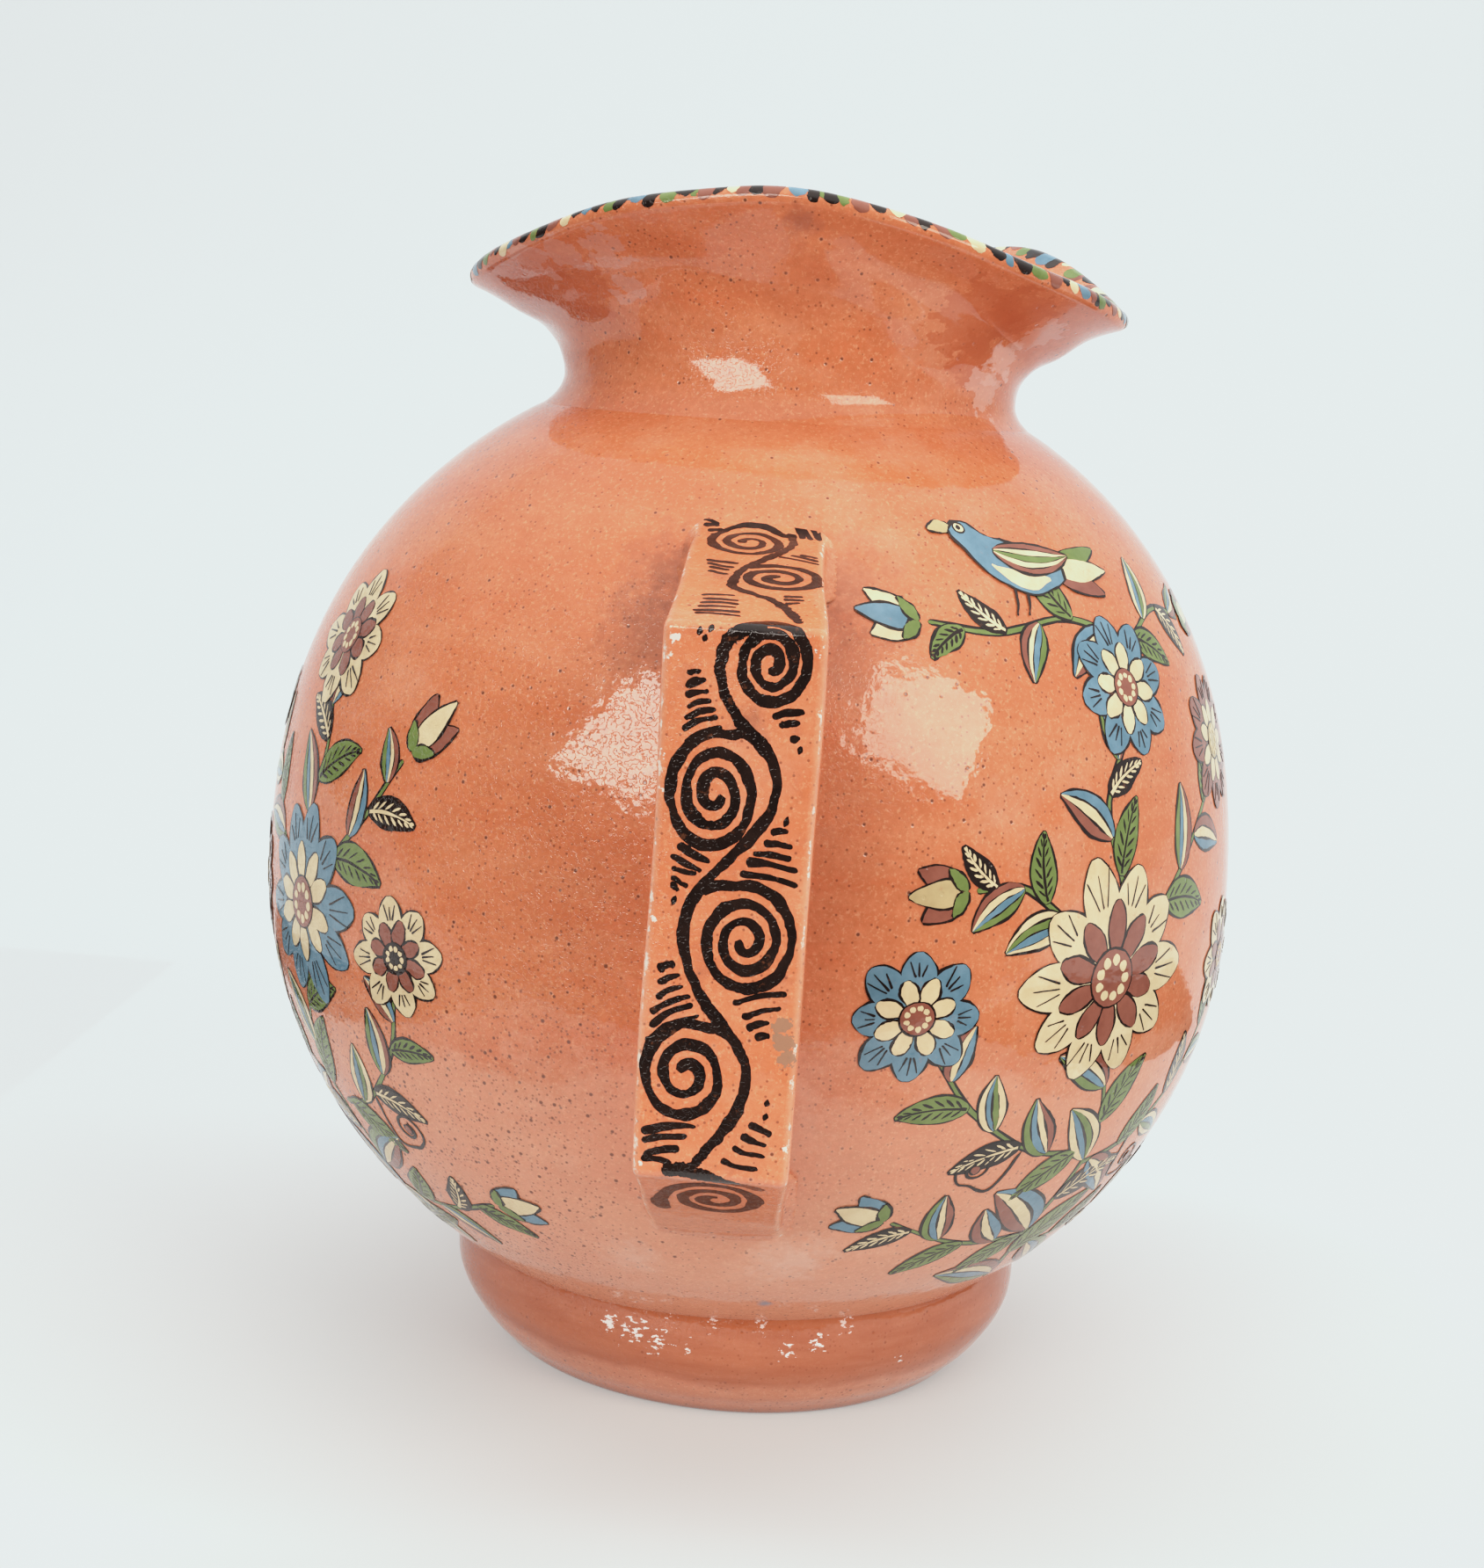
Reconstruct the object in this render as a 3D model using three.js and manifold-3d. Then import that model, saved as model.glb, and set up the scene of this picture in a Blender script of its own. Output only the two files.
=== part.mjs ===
// Globular earthenware pitcher with a flared, pinched mouth, a squared slab handle and a ring foot.
// Millimetres, +Z up, standing on z = 0. The handle points to -Y, the pouring lip to +Y.
// Seven clay pieces, formed apart and stuck together with slip before firing.

import * as THREE from "three";
import Module from "manifold-3d";

const wasm = await Module();
wasm.setup();

// Driving sizes of the globe
const bellyRadius = 110;
const bowlLift = 5.3;
const shoulderRise = 118.6;
const shoulderPower = 2.28;
const baseDrop = 105.2;
const basePower = 2.02;
const wall = 6;
const bellyHeight = bowlLift + baseDrop;

// Driving sizes of the neck and mouth
const neckRadius = 50.6;
const lipThickness = 4.4;
const mouthTwist = THREE.MathUtils.degToRad(-4.8);

// How far the rim flares beyond the neck and rises above its seat: at the handle, at the sides,
// at the two pinches and at the pouring lip between them
const backFlare = 10.4;
const backRise = 43;
const sideFlare = 23;
const sideRise = 24.4;
const pinchFlare = 19.5;
const pinchRise = 40.6;
const pinchTurn = 141;
const pourFlare = 33.4;
const pourRise = 36;

// Driving sizes of the foot
const footWidestRadius = 66.4;
const footJoinRadius = 65.8;
const footStandRadius = 55;
const footStandWidth = 6;
const footInnerRadius = 46;

// Driving sizes of the handle
const handleReach = 140;
const handleWidth = 28.4;
const handleThickness = 11;
const handleEdgeRound = 2;
const gripTop = 181.5;
const gripLength = 99;
const upperArmFall = THREE.MathUtils.degToRad(12.6);
const lowerArmFall = THREE.MathUtils.degToRad(30.6);
const armEndWidth = 25.2;

// Clearance left for the slip between two pieces of clay
const slipGap = 0.3;

// Fineness of the turned surfaces
const turns = 60;
const bowlSteps = 13;

// The origin is the middle of the footprint, so the turning axis is moved along Y
const axisY = (handleReach - bellyRadius) / 2;

// Globe outline: radius at a height, two halves of a superellipse, grown outward by a given distance
function globeRadius(height, grow) {
  const up = height > bellyHeight;
  const rise = (up ? shoulderRise : baseDrop) + grow;
  const power = up ? shoulderPower : basePower;
  const share = Math.min(1, Math.abs(height - bellyHeight) / rise);
  return (bellyRadius + grow) * Math.sqrt(1 - Math.pow(share, power));
}

// Height on the globe at a radius, on the upper or the lower half
function globeHeight(radius, grow, up) {
  const rise = (up ? shoulderRise : baseDrop) + grow;
  const power = up ? shoulderPower : basePower;
  const share = Math.pow(1 - Math.pow(radius / (bellyRadius + grow), 2), 1 / power);
  return bellyHeight + (up ? 1 : -1) * rise * share;
}

// Points of the globe outline between two heights, closer together where the outline turns in
function globeArc(from, to, grow, steps) {
  const points = [];
  const angleAt = (height) => {
    const rise = (height > bellyHeight ? shoulderRise : baseDrop) + grow;
    return Math.asin(THREE.MathUtils.clamp((height - bellyHeight) / rise, -1, 1));
  };
  const first = angleAt(from);
  const last = angleAt(to);
  for (let i = 0; i <= steps; i += 1) {
    const angle = first + ((last - first) * i) / steps;
    const rise = (angle > 0 ? shoulderRise : baseDrop) + grow;
    const height = i === 0 ? from : i === steps ? to : bellyHeight + rise * Math.sin(angle);
    points.push(new THREE.Vector2(globeRadius(height, grow), height));
  }
  return points;
}

function clay(red, green, blue) {
  return new THREE.MeshStandardMaterial({
    color: new THREE.Color(red, green, blue),
    roughness: 0.25,
    metalness: 0,
  });
}

// A turned piece from a closed outline of (radius, height) points, outside first, going up
function turned(name, outline, material) {
  const points = outline.slice();
  if (points[0].x > 0) points.push(points[0].clone());
  const geometry = new THREE.LatheGeometry(points, turns);
  geometry.rotateX(Math.PI / 2);
  geometry.translate(0, axisY, 0);
  const mesh = new THREE.Mesh(geometry, material);
  mesh.name = name;
  return mesh;
}

// Neck seat: the flat ring where the collar stands on the globe
const neckSeat = globeHeight(neckRadius, 0, true);
const neckBore = neckRadius - wall;

// Lower bowl: pressed in a mould, closed at the pole, open at the belly
function lowerBowl() {
  const seam = bellyHeight - slipGap / 2;
  const pole = bellyHeight - baseDrop;
  const outside = globeArc(pole, seam, 0, bowlSteps);
  const inside = globeArc(seam, pole + wall, -wall, bowlSteps);
  outside[0].x = 0;
  inside[inside.length - 1].x = 0;
  return turned("lower_bowl", [...outside, ...inside], clay(0.72, 0.27, 0.13));
}

// Upper bowl: the mould's second half with a straight hole cut for the neck
function upperBowl() {
  const seam = bellyHeight + slipGap / 2;
  const outside = globeArc(seam, neckSeat, 0, bowlSteps);
  const boreFoot = globeHeight(neckBore, -wall, true);
  const inside = globeArc(boreFoot, seam, -wall, bowlSteps - 1);
  const bore = new THREE.Vector2(neckBore, neckSeat);
  return turned("upper_bowl", [...outside, bore, ...inside], clay(0.74, 0.28, 0.13));
}

// Foot ring: a fat coil, widest near its top and drawn in to a flat to stand on, cut to sit against the bowl
function footRing() {
  const joinHeight = globeHeight(footJoinRadius, slipGap, false);
  const innerTop = globeHeight(footInnerRadius, slipGap, false);
  const standInner = footStandRadius - footStandWidth;
  const belly = new THREE.SplineCurve([
    new THREE.Vector2(footStandRadius, 0),
    new THREE.Vector2(footStandRadius + (footWidestRadius - footStandRadius) * 0.52, joinHeight * 0.24),
    new THREE.Vector2(footWidestRadius, joinHeight * 0.7),
    new THREE.Vector2(footJoinRadius, joinHeight),
  ]).getPoints(9);
  const seat = globeArc(joinHeight, innerTop, slipGap, 4).slice(1);
  const inside = new THREE.Vector2(standInner, 0);
  return turned("foot_ring", [...belly, ...seat, inside], clay(0.7, 0.26, 0.13));
}

// Rim of the mouth at a turn from the handle: flare and rise ease from one station to the next,
// so the back stands high, the sides flare low and two pinches lift the rim beside the pouring lip
const rimStations = [
  { turn: 0, flare: backFlare, rise: backRise },
  { turn: 90, flare: sideFlare, rise: sideRise },
  { turn: pinchTurn, flare: pinchFlare, rise: pinchRise },
  { turn: 180, flare: pourFlare, rise: pourRise },
];

function rimAt(degrees) {
  const turn = Math.abs(degrees > 180 ? degrees - 360 : degrees);
  let k = 0;
  while (k < rimStations.length - 2 && turn > rimStations[k + 1].turn) k += 1;
  const here = rimStations[k];
  const next = rimStations[k + 1];
  const share = (turn - here.turn) / (next.turn - here.turn);
  const ease = (1 - Math.cos(Math.PI * share)) / 2;
  return new THREE.Vector2(
    neckRadius + THREE.MathUtils.lerp(here.flare, next.flare, ease),
    THREE.MathUtils.lerp(here.rise, next.rise, ease),
  );
}

// Collar: at each turn the outer wall is a cubic from the upright neck to the flared rim,
// closed by a half-round lip, an inner wall one clay thickness away and a flat seat
function neckCollar() {
  const base = neckSeat + slipGap;
  const half = lipThickness / 2;
  const wallSteps = 9;
  const lipSteps = 4;
  const rings = [];
  for (let i = 0; i < turns; i += 1) {
    const degrees = (360 * i) / turns;
    const rim = rimAt(degrees);
    const ahead = new THREE.Vector2((rim.x - neckRadius) * 0.59, rim.y * 0.21).normalize();
    const under = new THREE.Vector2(ahead.y, -ahead.x);
    const lipMiddle = rim.clone().addScaledVector(ahead, -half);
    const wallEnd = lipMiddle.clone().addScaledVector(under, half);
    const flare = wallEnd.x - neckRadius;
    const outer = new THREE.CubicBezierCurve(
      new THREE.Vector2(neckRadius, 0),
      new THREE.Vector2(neckRadius, wallEnd.y * 0.5),
      new THREE.Vector2(neckRadius + flare * 0.41, wallEnd.y * 0.79),
      wallEnd,
    );
    const outside = [];
    const inside = [];
    for (let k = 0; k <= wallSteps; k += 1) {
      const share = k / wallSteps;
      const point = outer.getPoint(share);
      const along = outer.getTangent(share);
      const thick = THREE.MathUtils.lerp(wall, lipThickness, share);
      outside.push(point);
      inside.push(new THREE.Vector2(point.x - along.y * thick, point.y + along.x * thick));
    }
    const lip = [];
    for (let k = 1; k < lipSteps; k += 1) {
      const angle = (Math.PI * k) / lipSteps;
      lip.push(lipMiddle.clone()
        .addScaledVector(under, half * Math.cos(angle))
        .addScaledVector(ahead, half * Math.sin(angle)));
    }
    const turn = THREE.MathUtils.degToRad(degrees) + mouthTwist;
    const loop = [...outside, ...lip, ...inside.reverse()];
    rings.push(loop.map((point) => [
      point.x * Math.sin(turn),
      axisY - point.x * Math.cos(turn),
      base + point.y,
    ]));
  }
  const mesh = new THREE.Mesh(closedLoops(rings), clay(0.73, 0.27, 0.13));
  mesh.name = "neck_collar";
  return mesh;
}

// Surface through loops of points, closed along each loop and from the last loop to the first
function closedLoops(rings) {
  const many = rings[0].length;
  const index = [];
  for (let i = 0; i < rings.length; i += 1) {
    const next = (i + 1) % rings.length;
    for (let k = 0; k < many; k += 1) {
      const after = (k + 1) % many;
      const a = i * many + k;
      const b = next * many + k;
      const c = next * many + after;
      const d = i * many + after;
      index.push(a, b, c, a, c, d);
    }
  }
  const geometry = new THREE.BufferGeometry();
  geometry.setAttribute("position", new THREE.Float32BufferAttribute(rings.flat(2), 3));
  geometry.setIndex(index);
  geometry.computeVertexNormals();
  return geometry;
}

// Slab cross-section: a rectangle with rounded edges, as (sideways, outward) points
function slabSection(width, thickness) {
  const points = [];
  const round = handleEdgeRound;
  const corners = [
    [1, 1, 0],
    [-1, 1, 1],
    [-1, -1, 2],
    [1, -1, 3],
  ];
  for (const [side, out, quarter] of corners) {
    for (let k = 0; k <= 3; k += 1) {
      const angle = ((quarter + k / 3) * Math.PI) / 2;
      points.push([
        side * (width / 2 - round) + round * Math.cos(angle),
        out * (thickness / 2 - round) + round * Math.sin(angle),
      ]);
    }
  }
  return points;
}

// A straight slab between two cutting planes. The middle line starts at `start` and runs along `along`,
// `outward` is across the thickness; each plane is a point and a direction in the handle's own plane.
function slab(name, start, along, outward, widths, planes, material) {
  const loops = planes.map((plane, end) => slabSection(widths[end], handleThickness).map(([side, out]) => {
    const foot = new THREE.Vector2(start.x + outward.x * out, start.y + outward.y * out);
    const gap = plane.point.clone().sub(foot).dot(plane.direction);
    const run = gap / along.dot(plane.direction);
    return [side, axisY - (foot.x + along.x * run), foot.y + along.y * run];
  }));
  const many = loops[0].length;
  const index = [];
  for (let k = 0; k < many; k += 1) {
    const after = (k + 1) % many;
    index.push(k, after, many + after, k, many + after, many + k);
  }
  for (let k = 1; k < many - 1; k += 1) {
    index.push(0, k + 1, k);
    index.push(many, many + k, many + k + 1);
  }
  const geometry = new THREE.BufferGeometry();
  geometry.setAttribute("position", new THREE.Float32BufferAttribute(loops.flat(2), 3));
  geometry.setIndex(index);
  const mesh = new THREE.Mesh(geometry, material);
  mesh.name = name;
  return mesh;
}

// Solid of an indexed geometry, turned outward if it came out inside out
function solidOf(geometry) {
  const index = Array.from(geometry.index.array);
  const solid = new wasm.Manifold(new wasm.Mesh({
    numProp: 3,
    vertProperties: new Float32Array(geometry.attributes.position.array),
    triVerts: new Uint32Array(index),
  }));
  return solid;
}

// Closed body of the globe grown by the slip gap, to cut the ends of the arms
function globeCutter() {
  const bottom = bellyHeight - baseDrop - slipGap;
  const top = bellyHeight + shoulderRise + slipGap;
  const rows = [
    ...globeArc(bottom, bellyHeight, slipGap, bowlSteps).slice(1),
    ...globeArc(bellyHeight, top, slipGap, bowlSteps).slice(1, -1),
  ];
  const positions = [];
  for (const row of rows) {
    for (let i = 0; i < turns; i += 1) {
      const angle = (2 * Math.PI * i) / turns;
      positions.push(row.x * Math.sin(angle), axisY - row.x * Math.cos(angle), row.y);
    }
  }
  const low = rows.length * turns;
  positions.push(0, axisY, bottom, 0, axisY, top);
  const index = [];
  for (let i = 0; i < turns; i += 1) {
    const next = (i + 1) % turns;
    const last = (rows.length - 1) * turns;
    index.push(low, next, i, low + 1, last + i, last + next);
    for (let k = 0; k < rows.length - 1; k += 1) {
      const a = k * turns + i;
      const b = k * turns + next;
      index.push(a, b, b + turns, a, b + turns, a + turns);
    }
  }
  const geometry = new THREE.BufferGeometry();
  geometry.setAttribute("position", new THREE.Float32BufferAttribute(positions, 3));
  geometry.setIndex(index);
  return solidOf(geometry);
}

// Arm with its inner end cut to the globe
function fitted(mesh, cutter) {
  const cut = solidOf(mesh.geometry).subtract(cutter);
  const parts = cut.decompose();
  let best = parts[0];
  for (const part of parts) {
    if (part.volume() > best.volume()) best = part;
  }
  const result = best.getMesh();
  const geometry = new THREE.BufferGeometry();
  geometry.setAttribute("position", new THREE.Float32BufferAttribute(result.vertProperties, 3));
  geometry.setIndex(Array.from(result.triVerts));
  geometry.computeVertexNormals();
  mesh.geometry = geometry;
  return mesh;
}

// Handle: three slabs, mitred at the two corners. In its plane x is the reach from the axis, y the height.
function handle() {
  const half = handleThickness / 2;
  const gripLine = handleReach - half;
  const gripBottom = gripTop - gripLength;
  const upAlong = new THREE.Vector2(Math.cos(upperArmFall), -Math.sin(upperArmFall));
  const upOut = new THREE.Vector2(Math.sin(upperArmFall), Math.cos(upperArmFall));
  const lowAlong = new THREE.Vector2(-Math.cos(lowerArmFall), -Math.sin(lowerArmFall));
  const lowOut = new THREE.Vector2(Math.sin(lowerArmFall), -Math.cos(lowerArmFall));
  const down = new THREE.Vector2(0, -1);
  const outward = new THREE.Vector2(1, 0);
  const topCorner = new THREE.Vector2(handleReach, gripTop);
  const lowCorner = new THREE.Vector2(handleReach, gripBottom);

  // Middle line of each arm: half a thickness inside its outer face
  const upStart = topCorner.clone().addScaledVector(upOut, -half);
  const lowStart = lowCorner.clone().addScaledVector(lowOut, -half);

  // Mitre directions: square to the halving line of each corner, following the strap out, down and in
  const upMitre = upAlong.clone().add(down).normalize();
  const lowMitre = lowAlong.clone().add(down).normalize();
  const shift = slipGap / 2;
  const plane = (corner, direction, move) => ({
    point: corner.clone().addScaledVector(direction, move),
    direction,
  });

  // Each arm runs on to well inside the globe, where it is cut off square
  const armRun = handleReach - globeRadius(gripTop, 0) * 0.45;
  const upEnd = { point: upStart.clone().addScaledVector(upAlong, -armRun), direction: upAlong };
  const lowRun = handleReach - bellyRadius * 0.6;
  const lowEnd = { point: lowStart.clone().addScaledVector(lowAlong, lowRun), direction: lowAlong };

  const gripStart = new THREE.Vector2(gripLine, gripTop);
  const grip = slab("handle_grip", gripStart, down, outward, [handleWidth, handleWidth],
    [plane(topCorner, upMitre, shift), plane(lowCorner, lowMitre, -shift)], clay(0.75, 0.29, 0.14));
  const upper = slab("handle_upper_arm", upStart, upAlong, upOut, [armEndWidth, handleWidth],
    [upEnd, plane(topCorner, upMitre, -shift)], clay(0.74, 0.28, 0.14));
  const lower = slab("handle_lower_arm", lowStart, lowAlong, lowOut, [handleWidth, armEndWidth],
    [plane(lowCorner, lowMitre, shift), lowEnd], clay(0.73, 0.28, 0.14));
  const cutter = globeCutter();
  return [fitted(upper, cutter), grip, fitted(lower, cutter)];
}

const pitcher = new THREE.Group();
pitcher.name = "pitcher";
pitcher.add(footRing(), lowerBowl(), upperBowl(), neckCollar(), ...handle());

export default pitcher;
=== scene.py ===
import bpy
import numpy as np
from mathutils import Matrix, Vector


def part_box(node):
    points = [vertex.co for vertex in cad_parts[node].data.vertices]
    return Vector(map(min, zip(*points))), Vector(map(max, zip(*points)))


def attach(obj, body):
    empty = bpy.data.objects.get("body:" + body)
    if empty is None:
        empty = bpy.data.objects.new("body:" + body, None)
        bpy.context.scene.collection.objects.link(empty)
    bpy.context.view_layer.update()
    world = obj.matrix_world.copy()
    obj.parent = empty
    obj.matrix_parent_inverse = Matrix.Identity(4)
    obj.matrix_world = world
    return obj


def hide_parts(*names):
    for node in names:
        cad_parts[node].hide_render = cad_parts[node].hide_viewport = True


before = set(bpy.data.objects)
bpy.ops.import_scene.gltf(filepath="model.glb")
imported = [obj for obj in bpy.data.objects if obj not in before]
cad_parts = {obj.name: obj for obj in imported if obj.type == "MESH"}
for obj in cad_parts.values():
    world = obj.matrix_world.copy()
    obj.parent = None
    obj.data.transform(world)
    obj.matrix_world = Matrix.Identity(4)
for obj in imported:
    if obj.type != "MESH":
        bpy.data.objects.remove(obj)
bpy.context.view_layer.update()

# Foot ring
# A fat coil of red clay, luted under the lower bowl while both were leather hard and turned to a bulge.
# The clear glaze runs over it. Its upper band is darkened as painted shade under the globe, and painted
# glints
# # lie along the crease and on its front; it stands on a narrow flat.
foot_low, foot_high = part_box("foot_ring")
axis_y = (foot_low.y + foot_high.y) / 2
foot_widest = (foot_high.x - foot_low.x) / 2
foot_height = foot_high.z
foot_shift = 0.0004


def smooth_line(knots, count, looped=False, fine_ends=False):
    """Points along a curve through the knots. Between two knots the curve is a cubic whose slope at each
    knot is half the step from the knot before to the knot after. The points lie at even lengths, or by a
    half cosine, closer together towards both ends."""
    knots = np.asarray(knots, float)
    if looped:
        chain = np.concatenate([knots[-1:], knots, knots[:2]])
    else:
        chain = np.concatenate([2 * knots[:1] - knots[1:2], knots, 2 * knots[-1:] - knots[-2:-1]])
    spans = len(chain) - 3
    where = np.linspace(0, spans, 24 * spans + 1)
    k = np.minimum(where.astype(int), spans - 1)
    t = (where - k)[:, None]
    a, b, c, d = chain[k], chain[k + 1], chain[k + 2], chain[k + 3]
    fine = b + 0.5 * t * (c - a + t * (2 * a - 5 * b + 4 * c - d + t * (3 * (b - c) + d - a)))
    run = np.concatenate([[0], np.cumsum(np.linalg.norm(np.diff(fine, axis=0), axis=1))])
    share = np.linspace(0, 1, count, endpoint=not looped)
    if fine_ends:
        share = (1 - np.cos(np.pi * share)) / 2
    return np.stack([np.interp(share * run[-1], run, column) for column in fine.T], axis=1)


def shell(rows, looped=False):
    """Closed skin over a grid of points. Each row is a ring closed on itself, and rows follow one another;
    the last row joins the first, or each end is closed to a point at the middle of its ring. The sum of
    the faces' volumes towards the origin is positive, so the faces point outward."""
    count, ring = rows.shape[:2]
    here = np.arange(count * ring).reshape(count, ring)
    beside = np.roll(here, -1, axis=1)
    points = rows.reshape(-1, 3)
    if looped:
        quads = np.stack([here, beside, np.roll(beside, -1, 0), np.roll(here, -1, 0)], axis=-1)
        ends = np.empty((0, 3), int)
    else:
        quads = np.stack([here[:-1], beside[:-1], beside[1:], here[1:]], axis=-1)
        first = np.stack([np.full(ring, count * ring), beside[0], here[0]], axis=-1)
        last = np.stack([np.full(ring, count * ring + 1), here[-1], beside[-1]], axis=-1)
        ends = np.concatenate([first, last])
        points = np.concatenate([points, rows[:1].mean(1), rows[-1:].mean(1)])
    quads = quads.reshape(-1, 4)
    triangles = np.concatenate([quads[:, [0, 1, 2]], quads[:, [0, 2, 3]], ends])
    a, b, c = points[triangles[:, 0]], points[triangles[:, 1]], points[triangles[:, 2]]
    if np.einsum("ij,ij->", a, np.cross(b, c)) < 0:
        quads = quads[:, ::-1]
        ends = ends[:, ::-1]
    return points, quads, ends


def pottery_piece(name, shells, finishes, replaced=(), crease=None, worn=None):
    """One object from closed skins, each given as (skin, number of its finish). It rides on the pot and
    takes the place of the named solids; edges sharper than the crease angle keep their own shading. Worn
    gives each point how much its place is rubbed, for the finish to read."""
    points, faces, numbers, start = [], [], [], 0
    for (corners, quads, ends), number in shells:
        points.append(corners)
        faces += (quads + start).tolist() + (ends + start).tolist()
        numbers += [number] * (len(quads) + len(ends))
        start += len(corners)
    mesh = bpy.data.meshes.new(name)
    mesh.from_pydata(np.concatenate(points).tolist(), [], faces)
    mesh.polygons.foreach_set("use_smooth", np.ones(len(faces), bool))
    mesh.polygons.foreach_set("material_index", np.array(numbers, np.int32))
    if crease is not None:
        mesh.set_sharp_from_angle(angle=crease)
    if worn is not None:
        mesh.attributes.new("worn", "FLOAT", "POINT").data.foreach_set("value", worn)
    for finish in finishes:
        mesh.materials.append(finish)
    made = bpy.data.objects.new(name, mesh)
    bpy.context.scene.collection.objects.link(made)
    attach(made, "root")
    if replaced:
        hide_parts(*replaced)


def shader_node(tree, kind, inputs=None, **settings):
    """A shader node with its settings; an input given as a socket is linked, any other value is set."""
    made = tree.nodes.new(kind)
    for key, value in settings.items():
        setattr(made, key, value)
    for key, value in (inputs or {}).items():
        if isinstance(value, bpy.types.NodeSocket):
            tree.links.new(value, made.inputs[key])
        else:
            made.inputs[key].default_value = value
    return made


def noise(tree, place, scale, detail=3.0, rough=0.55):
    """Value of a noise of that many waves to the metre."""
    made = shader_node(tree, "ShaderNodeTexNoise",
                       {"Vector": place, "Scale": scale, "Detail": detail, "Roughness": rough})
    return made.outputs["Fac"]


def between(tree, value, low, high, to_low=0.0, to_high=1.0):
    """The value carried from the range low to high onto another range, and held at its ends."""
    ranges = {"Value": value, "From Min": low, "From Max": high, "To Min": to_low, "To Max": to_high}
    return shader_node(tree, "ShaderNodeMapRange", ranges).outputs["Result"]


def maths(tree, operation, a, b):
    """One sum, product or the like of two values."""
    return shader_node(tree, "ShaderNodeMath", {0: a, 1: b}, operation=operation).outputs[0]


def mixed(tree, share, a, b, blend="MIX"):
    """Colour a with that share of colour b laid over it."""
    made = shader_node(tree, "ShaderNodeMix", {0: share, 6: a, 7: b}, data_type="RGBA", blend_type=blend)
    return made.outputs[2]


def part_of(tree, place, axis):
    """One of the three measures of a place."""
    return shader_node(tree, "ShaderNodeSeparateXYZ", {0: place}).outputs[axis]


def squeezed(tree, place, scale):
    """The place multiplied along x, y and z, so that a pattern is drawn out where the factor is small."""
    return shader_node(tree, "ShaderNodeMapping", {"Vector": place, "Scale": scale}).outputs[0]


def distance(tree, place, point):
    """How far the place is from a point."""
    made = shader_node(tree, "ShaderNodeVectorMath", {0: place, 1: point}, operation="DISTANCE")
    return made.outputs["Value"]


def specks(tree, place, scale, size, share):
    """Dots in some of the cells of a scattered pattern of that many cells to the metre: 1 in the middle of a
    dot, 0 outside it. Size is a dot's radius in cells, and share tells how many of the cells have one."""
    cells = shader_node(tree, "ShaderNodeTexVoronoi", {"Vector": place, "Scale": scale})
    dot = between(tree, cells.outputs["Distance"], 0.55 * size, size, 1.0, 0.0)
    lot = shader_node(tree, "ShaderNodeSeparateColor", {0: cells.outputs["Color"]}).outputs[0]
    return maths(tree, "MULTIPLY", dot, maths(tree, "LESS_THAN", lot, share))


def glaze_over(name, colour_of, shine=0.5):
    """Clear glaze over a coloured ground. colour_of gives the ground's colour from the tree and the place,
    and shine is under a half where the glaze is rubbed dull. The glass has slow waves, level tool marks, a
    ripple that is calmer about the neck, fine winding wrinkles on the left, a dimpled place beside the handle
    and pits at the specks; they run on from clay to paint, as all read the same place."""
    made = bpy.data.materials.new(name)
    made.use_nodes = True
    tree = made.node_tree
    tree.nodes.clear()
    place = shader_node(tree, "ShaderNodeTexCoord").outputs["Object"]
    lain = squeezed(tree, place, (1.0, 1.0, 5.0))
    waves = maths(tree, "MULTIPLY", noise(tree, place, 95.0, 1.0, 0.5), 0.55)
    marks = maths(tree, "MULTIPLY", noise(tree, lain, 60.0, 2.0, 0.5), 0.18)
    left = between(tree, part_of(tree, place, "X"), -0.03, 0.04, 1.0, 0.0)
    below_neck = between(tree, part_of(tree, place, "Z"), 0.176, 0.194, 1.0, 0.40)
    patch = maths(tree, "MULTIPLY", between(tree, noise(tree, place, 26.0, 2.0, 0.5), 0.36, 0.60, 0.35, 1.0),
                  between(tree, left, 0.0, 1.0, 0.30, 0.40))
    crest = maths(tree, "ABSOLUTE", maths(tree, "SUBTRACT", noise(tree, place, 900.0, 1.5, 0.5), 0.5), 0.0)
    wrinkle = maths(tree, "MULTIPLY", between(tree, crest, 0.0, 0.032, -0.17, 0.0), left)
    beside = distance(tree, place, (0.020, axis_y - 0.101, 0.160))
    dimples = maths(tree, "MULTIPLY", between(tree, beside, 0.004, 0.016, 1.2, 0.0),
                    noise(tree, place, 260.0, 1.0))
    ripple = maths(tree, "ADD", maths(tree, "MULTIPLY", noise(tree, place, 430.0, 1.5, 0.6), patch),
                   maths(tree, "ADD", wrinkle, dimples))
    ripple = maths(tree, "MULTIPLY", ripple, below_neck)
    pits = maths(tree, "MULTIPLY", specks(tree, place, 330.0, 0.17, 0.30), -0.22)
    relief = maths(tree, "ADD", maths(tree, "ADD", waves, marks), maths(tree, "ADD", ripple, pits))
    bump = shader_node(tree, "ShaderNodeBump", {"Height": relief, "Strength": 0.6, "Distance": 0.0004})
    dull = between(tree, noise(tree, place, 30.0, 4.0, 0.65), 0.35, 0.7, 0.03, 0.09)
    surface = shader_node(tree, "ShaderNodeBsdfPrincipled",
                          {"Base Color": colour_of(tree, place), "Roughness": dull, "IOR": 1.52,
                           "Specular IOR Level": shine, "Normal": bump.outputs["Normal"]})
    out = shader_node(tree, "ShaderNodeOutputMaterial", {"Surface": surface.outputs[0]})
    out.is_active_output = True
    return made


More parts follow.
